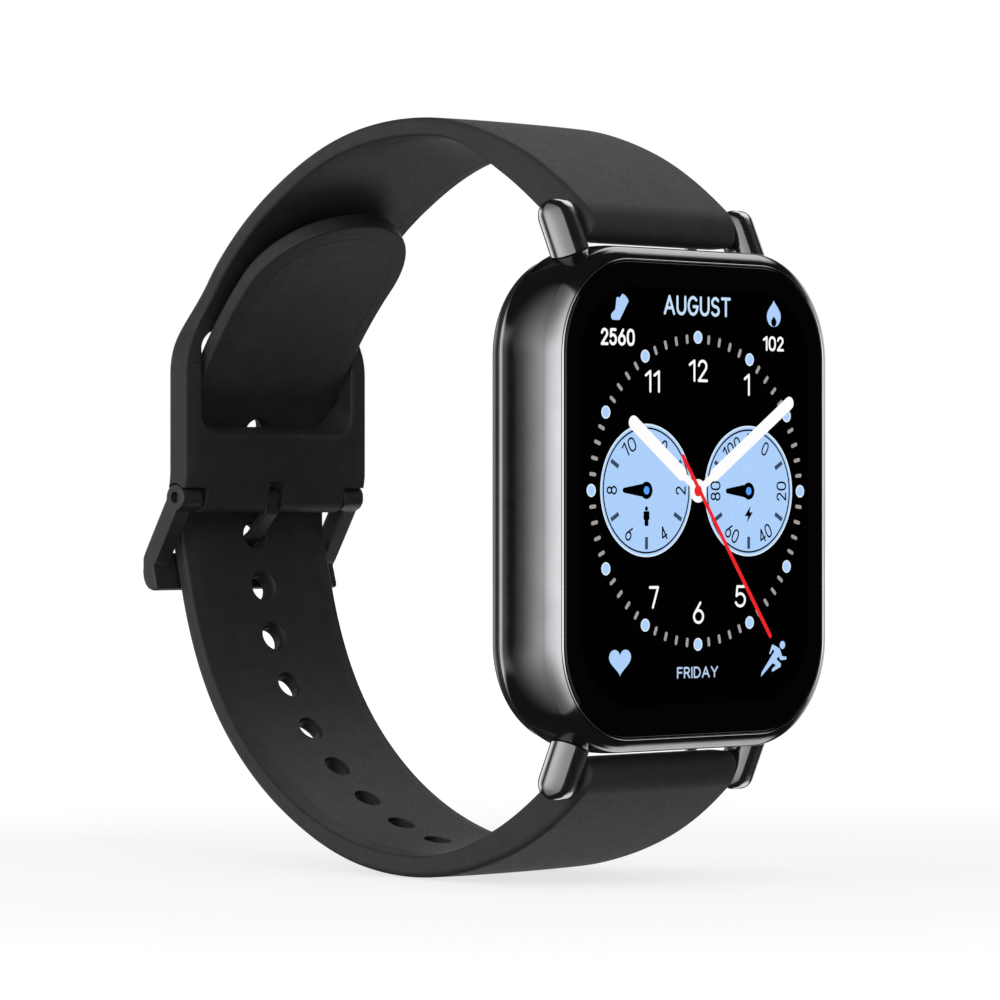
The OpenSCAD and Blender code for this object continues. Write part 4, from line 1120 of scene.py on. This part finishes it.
class Ink:
    """Flat shapes of one finish, set just proud of the glass."""

    def __init__(self, name, material, layer):
        self.name, self.material, self.y = name, material, -BODY_T - INK_LIFT - INK_STEP * layer
        self.points, self.faces = [], []

    def shape(self, outline):
        area = sum(a[0] * b[1] - b[0] * a[1] for a, b in zip(outline, outline[1:] + outline[:1]))
        if area < 0:
            outline = outline[::-1]
        first = len(self.points)
        self.points += [(x, self.y, z) for x, z in outline]
        self.faces.append(tuple(range(first, first + len(outline))))
        return self

    def disc(self, x, z, r, sides=40):
        return self.shape([(x + r * cos(360 * k / sides), z + r * sin(360 * k / sides)) for k in range(sides)])

    def ring(self, x, z, r0, r1, sides=96):
        first = len(self.points)
        for k in range(sides):
            for r in (r0, r1):
                self.points.append((x + r * cos(360 * k / sides), self.y, z + r * sin(360 * k / sides)))
        for k in range(sides):
            a, b = first + 2 * k, first + 2 * ((k + 1) % sides)
            self.faces.append((a, a + 1, b + 1, b))
        return self

    def at(self, x, z, outline):
        return self.shape([(x + a, z + b) for a, b in outline])

    def bar(self, x0, z0, x1, z1, w0, w1):
        """Tapered bar with round ends."""
        turn = math.degrees(math.atan2(z1 - z0, x1 - x0))
        outline = []
        for x, z, w, first in ((x1, z1, w1, turn - 90), (x0, z0, w0, turn + 90)):
            outline += [(x + w / 2 * cos(first + 15 * k), z + w / 2 * sin(first + 15 * k)) for k in range(13)]
        return self.shape(outline)

    def text(self, words, x, z, width, height, turn=0.0, stroke=0.27, gap=0.24):
        """Lettering drawn with a round pen, of a given outer size; turn is clockwise."""
        spread = sum(GLYPHS[c][0] for c in words) + gap * (len(words) - 1)
        free = (width - stroke) / spread
        left = -(width - stroke) / 2
        for c in words:
            wide, strokes = GLYPHS[c]
            for line in strokes:
                spots = []
                for a, b in line:
                    u, v = left + a * wide * free, (b - 0.5) * (height - stroke)
                    spots.append((x + u * cos(turn) + v * sin(turn), z - u * sin(turn) + v * cos(turn)))
                for (a, b), (c0, d0) in zip(spots, spots[1:]):
                    self.bar(a, b, c0, d0, stroke, stroke)
            left += (wide + gap) * free
        return self

    def done(self, extra=()):
        """Joins overlapping shapes into one flat sheet that faces out."""
        points, faces = [(x, z) for x, _, z in self.points], list(self.faces)
        for piece in extra:
            first = len(points)
            points += [(v.co.x, v.co.z) for v in piece.data.vertices]
            faces += [tuple(first + i for i in face.vertices) for face in piece.data.polygons]
            bpy.data.objects.remove(piece)
        flat, _, cells, _, _, origins = delaunay_2d_cdt([Vector(p) for p in points], [], faces, 0, 1e-5)
        cells = [cell for cell, origin in zip(cells, origins) if origin]
        piece = new_piece(self.name, [(x, self.y, z) for x, z in flat], cells)
        form = bmesh.new()
        form.from_mesh(piece.data)
        for face in form.faces:
            face.normal_update()
            if face.normal.y > 0:
                face.normal_flip()
        form.to_mesh(piece.data)
        form.free()
        return complete(piece, self.material, "case", "display")


PIVOT_X, PIVOT_Z = 0.0, 0.85
DOTS_R, DOT_R, TICKS_R, SUBDIAL_R = 15.04, 0.62, 14.9, 6.45
SUBDIALS = ((-7.34, 0.88, ("0", "2", "4", "6", "8", "10")), (7.39, 0.85, ("0", "20", "40", "60", "80", "100")))


def mark(ink, outline, count, radius, first, step, middle):
    """One mark, drawn upright at the middle of the dial, repeated round a circle."""
    one = Ink("mark", ink.material, 0)
    one.y = ink.y
    one.shape(outline)
    piece = new_piece("mark", [(x, 0, z) for x, _, z in one.points], one.faces)
    return grow(piece, ROUND_TREE, Count=count, Radius=radius, First=math.radians(first),
                Step=math.radians(step), Middle=(middle[0], ink.y, middle[1]))


def lozenge(w, l, steps=6):
    """Upright bar with round ends."""
    ring = []
    for s, first in ((1, 0), (-1, 180)):
        ring += [
            (w / 2 * cos(first + 180 * k / steps), s * (l - w) / 2 + w / 2 * sin(first + 180 * k / steps))
            for k in range(steps + 1)
        ]
    return ring


def block(w, l):
    return [(w / 2, -l / 2), (w / 2, l / 2), (-w / 2, l / 2), (-w / 2, -l / 2)]


def heart(w, h):
    ring = []
    for k in range(48):
        a = 7.5 * k
        x = sin(a) ** 3
        z = (13 * cos(a) - 5 * cos(2 * a) - 2 * cos(3 * a) - cos(4 * a)) / 16
        ring.append((x * w / 2, (z + 0.13) * h / 1.82))
    return ring


def drop(top, wide, wide_z, low, low_w, steps=8):
    """Flame or drop outline about its own middle line."""
    right = []
    for k in range(steps + 1):
        t = k / steps
        right.append((wide * math.sin(t * math.pi / 2) ** 1.3, top + (wide_z - top) * t))
    for k in range(1, steps + 1):
        a = 90 * k / steps
        right.append((low_w + (wide - low_w) * cos(a), wide_z + (low - wide_z) * sin(a)))
    return right + [(-x, z) for x, z in reversed(right) if x > 1e-6]


# Running figure, on a grid that is finer along its height
RUNNER = [
    (-3, 36), (14, 25), (20, 6), (31, 4), (30, -3), (16, -4), (11, 5), (6, -1), (17, -13), (16, -21), (-5, -33),
    (-5, -25), (5, -16), (-4, -11), (-32, -44), (-31, -34), (1, 19), (-3, 24), (-9, 12), (-12, 13), (-5, 35),
]
RUNNER_STEP_X, RUNNER_STEP_Z = 0.0605, 0.03975


def build_display():
    area = Ink("display_area", INK_BLACK, 0)
    outline = []
    for i, (sx, sz) in enumerate(CORNERS):
        outline += [
            (sx * 9.4 + 7.0 * cos(90 * i + 6 * k), (13.6 if sz > 0 else -13.0) + 7.0 * sin(90 * i + 6 * k))
            for k in range(16)
        ]
    area.shape(outline)
    area.done()

    dots = Ink("hour_dots", INK_BLUE, 1)
    dots.done([mark(dots, circle(DOT_R, 28), 12, DOTS_R, 0, 30, (PIVOT_X, PIVOT_Z))])
    rims = Ink("dot_and_disc_rims", INK_RIM, 3)
    for k in range(12):
        rims.ring(PIVOT_X + DOTS_R * sin(30 * k), PIVOT_Z + DOTS_R * cos(30 * k), 0.5, 0.63, 28)
    for x, z, _ in SUBDIALS:
        rims.ring(x, z, 6.32, 6.46)
    rims.done()
    ticks = Ink("minute_ticks", INK_GREY, 1)
    ticks.done(
        [mark(ticks, lozenge(0.37, 0.95), 12, TICKS_R, 6 * k, 30, (PIVOT_X, PIVOT_Z)) for k in (1, 2, 3, 4)]
    )
    white = Ink("dial_numerals", INK_WHITE, 1)
    for words, x, z, width in (
        ("12", 0.06, 12.62, 2.74), ("11", -6.5, 11.46, 2.12), ("1", 7.13, 11.38, 0.88),
        ("7", -6.28, -9.5, 1.41), ("6", 0.08, -11.09, 1.58), ("5", 6.2, -9.56, 1.61),
    ):
        white.text(words, x, z, width, 2.2)
    white.text("2560", -11.34, 15.64, 4.73, 1.66, stroke=0.28).text("102", 11.07, 15.54, 3.13, 1.48, stroke=0.25)
    white.done()
    Ink("month_name", INK_PALE, 1).text("AUGUST", -0.06, 18.95, 9.65, 1.95, stroke=0.3).done()
    Ink("day_name", INK_CLOUD, 1).text("FRIDAY", -0.05, -16.92, 5.91, 1.13, stroke=0.18).done()

    icons = Ink("corner_icons", INK_BLUE, 1)
    icons.at(-11.07, 18.54, [
        (0.36, 1.29), (0.8, 1.1), (1.13, 0.78), (1.23, 0.56), (0.9, 0.1), (0.42, -0.62), (-0.04, -1.27), (-1.0, -1.27),
        (-1.16, -1.13), (-1.22, -0.94), (-1.16, -0.67), (-0.66, -0.28), (-0.55, 0.2), (-0.48, 0.82), (-0.32, 0.98),
        (-0.1, 0.87), (0.06, 0.95),
    ])
    icons.at(11.13, 18.54, drop(1.32, 1.03, -0.25, -1.3, 0.12))
    icons.at(-11.04, -15.74, heart(3.07, 2.62))
    icons.disc(12.41, -14.5, 0.4)
    icons.at(11.16, -15.85, [(RUNNER_STEP_X * a, RUNNER_STEP_Z * b) for a, b in RUNNER])
    icons.done()
    Ink("flame_core", INK_BLACK, 2).at(11.13, 18.54, drop(-0.24, 0.4, -0.83, -1.28, 0.05, 5)).done()

    discs = Ink("subdial_discs", INK_BLUE, 1)
    edge = Ink("subdial_rings", INK_BLACK, 2)
    tick = Ink("subdial_ticks", INK_SLATE, 2)
    number = Ink("subdial_numerals", INK_BLACK, 2)
    pointer = Ink("subdial_pointers", INK_BLACK, 3)
    centre = Ink("subdial_centres", INK_DOT, 4)
    marks = []
    for x, z, words in SUBDIALS:
        discs.disc(x, z, SUBDIAL_R, 96)
        edge.ring(x, z, 5.95, 6.12)
        marks.append(mark(tick, block(0.42, 1.2), 6, 5.12, 0, 60, (x, z)))
        for word, hour in zip(words, (1, 3, 5, 7, 9, 11)):
            turn = 30 * hour
            upright = turn if hour in (9, 11, 1) else turn - 180
            width = {1: 0.86, 2: 1.95, 3: 2.75}[len(word)]
            number.text(word, x + 4.85 * sin(turn), z + 4.85 * cos(turn), width, 1.45, upright, 0.18)
        pointer.disc(x, z, 0.85)
        pointer.bar(x - 0.3, z, x - 3.1, z, 1.35, 0.5)
        centre.disc(x, z, 0.4)
    discs.done()
    edge.done()
    tick.done(marks)
    number.done()
    pointer.done()
    centre.done()

    signs = Ink("subdial_signs", INK_BLACK, 2)
    x, z, _ = SUBDIALS[0]
    signs.disc(x, z - 1.77, 0.22, 20)
    signs.at(x, z, [(-0.42, -2.1), (-0.34, -2.02), (0.34, -2.02), (0.42, -2.1), (0.42, -2.85), (0.27, -2.85),
                    (0.27, -3.45), (-0.27, -3.45), (-0.27, -2.85), (-0.42, -2.85)])
    x, z, _ = SUBDIALS[1]
    signs.at(x, z, [(0.27, -1.48), (-0.6, -2.48), (-0.07, -2.48), (-0.27, -3.14), (0.6, -2.1), (0.13, -2.1)])
    signs.done()

    hands = Ink("hour_and_minute_hands", INK_WHITE, 6)
    shade = Ink("hand_shadows", INK_SHADE, 4)
    for tip_x, tip_z, w in ((-9.72, 7.82, 1.4), (13.95, 10.01, 1.3)):
        reach = math.hypot(tip_x, tip_z - PIVOT_Z)
        ux, uz = tip_x / reach, (tip_z - PIVOT_Z) / reach
        hands.bar(0, PIVOT_Z, 2.6 * ux, PIVOT_Z + 2.6 * uz, 0.75, 0.75)
        hands.bar(2.9 * ux, PIVOT_Z + 2.9 * uz, tip_x - w / 2 * ux, tip_z - w / 2 * uz, w, w)
        far = min(reach - w / 2, 12.4)
        shade.bar(3.0 * ux + 0.05, PIVOT_Z + 3.0 * uz - 0.22, far * ux + 0.05, PIVOT_Z + far * uz - 0.22, w, w)
    hands.disc(0, PIVOT_Z, 1.15)
    hands.done()
    red = Ink("second_hand", INK_RED, 7)
    red.bar(-2.16, 4.21, 10.56, -13.55, 0.45, 0.45)
    red.disc(0, PIVOT_Z, 0.55)
    red.done()


# ---------------------------------------------------------------- frame nodes that are shown as they are

FINISHES = {
    STEEL: ["upper_bar_tube", "upper_bar_tip", "upper_bar_spring", "upper_release_pin", "lower_bar_tube",
            "lower_bar_tip", "lower_bar_spring", "lower_release_pin", "chassis_screws", "motor_can",
            "board_shields"],
    GOLD: ["charging_pins", "button_switch", "microphone"],
    SEAL: ["glass_seal", "back_seal"],
    PANEL: ["display_panel", "photodiodes"],
    CHASSIS: ["chassis", "display_shield"],
    POLYIMIDE: ["display_flex"],
    BOARD: ["main_board", "sensor_board"],
    CELL: ["battery"],
    TUNGSTEN: ["motor_weight"],
    PLASTIC: ["speaker"],
    MESH_CLOTH: ["speaker_mesh"],
    LED: ["sensor_leds"],
    MAGNET: ["charging_magnets"],
    SATIN_BLACK: ["buckle_pin"],
}


def finish_inner_pieces():
    for material, names in FINISHES.items():
        for name in names:
            nodes[name].data.materials.clear()
            nodes[name].data.materials.append(material)


finish_inner_pieces()
build_upper_strap()
build_lower_strap()
build_case()
build_glass()
build_lugs()
build_back()
build_button()
build_buckle()
build_display()

# ---------------------------------------------------------------- floor, light and camera

PLAIN_LEVEL = 0.3  # what matt surfaces get from the sky
FLOOR_HALF, FLOOR_DROP = 3, 0.0001
FADE_NEAR, FADE_FAR, FADE_LEVEL = 0.06, 0.3, 0.74  # the floor brightens to white away from the strap
MIDDLE = (0, 0.02, 0)


def build_floor(level):
    corners = [(x * FLOOR_HALF, y * FLOOR_HALF, level) for x, y in ((-1, -1), (1, -1), (1, 1), (-1, 1))]
    floor = new_piece("floor", corners, [(0, 1, 2, 3)])
    paint = bpy.data.materials.new("pale floor")
    paint.use_nodes = True
    net = paint.node_tree
    shader = net.nodes["Principled BSDF"]
    shader.inputs["Base Color"].default_value = (0.4, 0.4, 0.4, 1)
    shader.inputs["Roughness"].default_value = 0.9
    shader.inputs["Specular IOR Level"].default_value = 0.0
    shader.inputs["Emission Color"].default_value = (1, 1, 1, 1)
    ray = net.nodes.new("ShaderNodeLightPath")
    place = net.nodes.new("ShaderNodeTexCoord")
    reach = net.nodes.new("ShaderNodeVectorMath")
    reach.operation = "DISTANCE"
    reach.inputs[1].default_value = (0, 0.02, level)
    net.links.new(place.outputs["Object"], reach.inputs[0])
    fade = map_range(net, reach.outputs["Value"], FADE_NEAR, FADE_FAR, FADE_LEVEL, 1.0)
    lift = net.nodes.new("ShaderNodeMath")
    lift.operation = "MULTIPLY"
    net.links.new(fade, lift.inputs[1])
    net.links.new(ray.outputs["Is Camera Ray"], lift.inputs[0])
    net.links.new(lift.outputs[0], shader.inputs["Emission Strength"])
    floor.data.materials.append(paint)
    floor.visible_glossy = False
    floor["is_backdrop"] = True


class Sky:
    """World: white behind the object, a plain level for matt surfaces, and soft boxes and dark flags for gloss."""

    def __init__(self):
        world = bpy.data.worlds.new("studio")
        world.use_nodes = True
        world.cycles.sampling_method = "NONE"
        scene.world = world
        self.net = world.node_tree
        self.out = self.net.nodes["Background"]
        way = self.net.nodes.new("ShaderNodeTexCoord").outputs["Generated"]
        split = self.net.nodes.new("ShaderNodeSeparateXYZ")
        self.net.links.new(way, split.inputs[0])
        self.way = x, y, z = split.outputs
        self.turn = self.math("DEGREES", self.math("ARCTAN2", y, x))
        self.rise = self.math("DEGREES", self.math("ARCSINE", z))

    def math(self, operation, a, b=None, c=None):
        node = self.net.nodes.new("ShaderNodeMath")
        if operation == "DEGREES":
            operation, b = "MULTIPLY", 180 / math.pi
        node.operation = operation
        for slot, value in zip(node.inputs, (a, b, c)):
            if isinstance(value, (int, float)):
                slot.default_value = value
            elif value is not None:
                self.net.links.new(value, slot)
        return node.outputs[0]

    def window(self, value, low, high, edge_low, edge_high):
        """1 between low and high, with soft edges."""
        rise = map_range(self.net, value, low - edge_low, low + edge_low, 0, 1, smooth=True)
        fall = map_range(self.net, value, high - edge_high, high + edge_high, 1, 0, smooth=True)
        return self.math("MULTIPLY", rise, fall)

    def curve(self, value, stops):
        """Straight pieces through (value, level)."""
        total = None
        for (a, low), (b, high) in zip(stops, stops[1:]):
            part = map_range(self.net, value, a, b, 0.0, high - low)
            total = part if total is None else self.math("ADD", total, part)
        return self.math("ADD", total, stops[0][1])

    def box(self, strength, turn, rise):
        return self.math("MULTIPLY", strength,
                         self.math("MULTIPLY", self.window(*turn), self.window(*rise)))

    def finish(self, boxes, dark):
        total = dark
        for box in boxes:
            total = self.math("ADD", total, box)
        ray = self.net.nodes.new("ShaderNodeLightPath")
        glossy = ray.outputs["Is Glossy Ray"]
        seen = self.math("MAXIMUM", ray.outputs["Is Camera Ray"], ray.outputs["Is Transmission Ray"])
        plain_part = self.math("SUBTRACT", 1.0, self.math("MAXIMUM", glossy, seen))
        level = self.math("ADD", self.math("MULTIPLY", glossy, total),
                          self.math("ADD", seen, self.math("MULTIPLY", plain_part, PLAIN_LEVEL)))
        self.net.links.new(level, self.out.inputs["Strength"])
        self.out.inputs["Color"].default_value = (1, 1, 1, 1)


# Level of the wall of light and of the white behind, by the turn in degrees from +X towards +Y
WALL = ((129, 0.0), (130, 0.04), (135, 0.2), (140.5, 0.6), (146, 1.08), (174, 1.5), (215, 2.0), (262, 2.5),
        (275, 2.5), (288, 0.0))
BEHIND = ((-36, 0.0), (-30, 0.12), (-14, 0.12), (-8, 0.0), (0, 1.0), (70, 1.3), (98, 1.6), (122, 0.2), (125, 0.0))
WALL_SLANT, WALL_HALF_HEIGHT, DARK_LEVEL = 0.55, 0.38, 0.02


def build_sky():
    sky = Sky()
    x, y, z = sky.way
    # Wall of light on the left: it starts behind the left shoulder and brightens towards the front
    slanted = sky.math("SUBTRACT", x, sky.math("MULTIPLY", WALL_SLANT, sky.math("ABSOLUTE", z)))
    turn = sky.math("DEGREES", sky.math("ARCTAN2", y, slanted))
    turn = sky.math("MODULO", sky.math("ADD", turn, 360.0), 360.0)
    wall = sky.curve(turn, WALL)
    height = sky.math("ABSOLUTE", z)
    reach = sky.math("ADD", x, sky.math("MULTIPLY", 1.17, height))
    steep = sky.math("POWER", sky.math("DIVIDE", height, WALL_HALF_HEIGHT), 2.0)
    fall = sky.math("DIVIDE", 1.0, sky.math("ADD", 1.0, steep))
    wall = sky.math("MULTIPLY", sky.math("MULTIPLY", wall, fall), sky.window(reach, -3, 0.705, 0.1, 0.03))
    # White behind the object, low enough to edge the polished metal
    behind = sky.curve(sky.turn, BEHIND)
    behind = sky.math("MULTIPLY", behind, sky.window(sky.rise, -18, 18, 5, 5))
    # Two soft boxes behind the right shoulder, above and below
    boxes = [
        wall,
        behind,
        sky.box(1.5, (sky.turn, -20, 45, 10, 10), (sky.rise, 33, 58, 4, 6)),
        sky.box(1.2, (sky.turn, -20, 45, 10, 10), (sky.rise, -58, -33, 6, 4)),
    ]
    sky.finish(boxes, DARK_LEVEL)


def lamp(name, spot, aim, size, power):
    light = bpy.data.lights.new(name, "AREA")
    light.shape = "RECTANGLE"
    light.size, light.size_y = size
    light.energy = power
    thing = bpy.data.objects.new(name, light)
    scene.collection.objects.link(thing)
    turn = (Vector(aim) - Vector(spot)).to_track_quat("-Z", "Y")
    thing.matrix_world = Matrix.Translation(spot) @ turn.to_matrix().to_4x4()
    thing.visible_glossy = False


LENS_MM, CAMERA_TURN, CAMERA_TILT = 166.8, -44.801, 0.118
CAMERA_SPOT = (-0.33362, -0.31963, -0.00098)


def build_camera():
    lens = bpy.data.cameras.new("camera")
    lens.lens = LENS_MM
    lens.sensor_width = 36.0
    lens.clip_start = 0.01
    camera = bpy.data.objects.new("camera", lens)
    scene.collection.objects.link(camera)
    turn = Matrix.Rotation(math.radians(CAMERA_TURN), 4, "Z") @ Matrix.Rotation(math.radians(90 + CAMERA_TILT), 4, "X")
    camera.matrix_world = Matrix.Translation(CAMERA_SPOT) @ turn
    scene.camera = camera


build_floor(min(cad_box[0][2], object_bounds()[0].z) - FLOOR_DROP)
build_sky()
lamp("left soft box", (-1.0, 0.05, 0.25), MIDDLE, (0.9, 0.9), 7.5)
lamp("front top soft box", (-0.1, -0.8, 0.9), MIDDLE, (0.8, 0.6), 1.8)
lamp("front soft box", (0.1, -1.2, -0.1), (0, 0.0, 0), (0.8, 0.3), 2.6)
build_camera()

scene.view_settings.view_transform = "Standard"
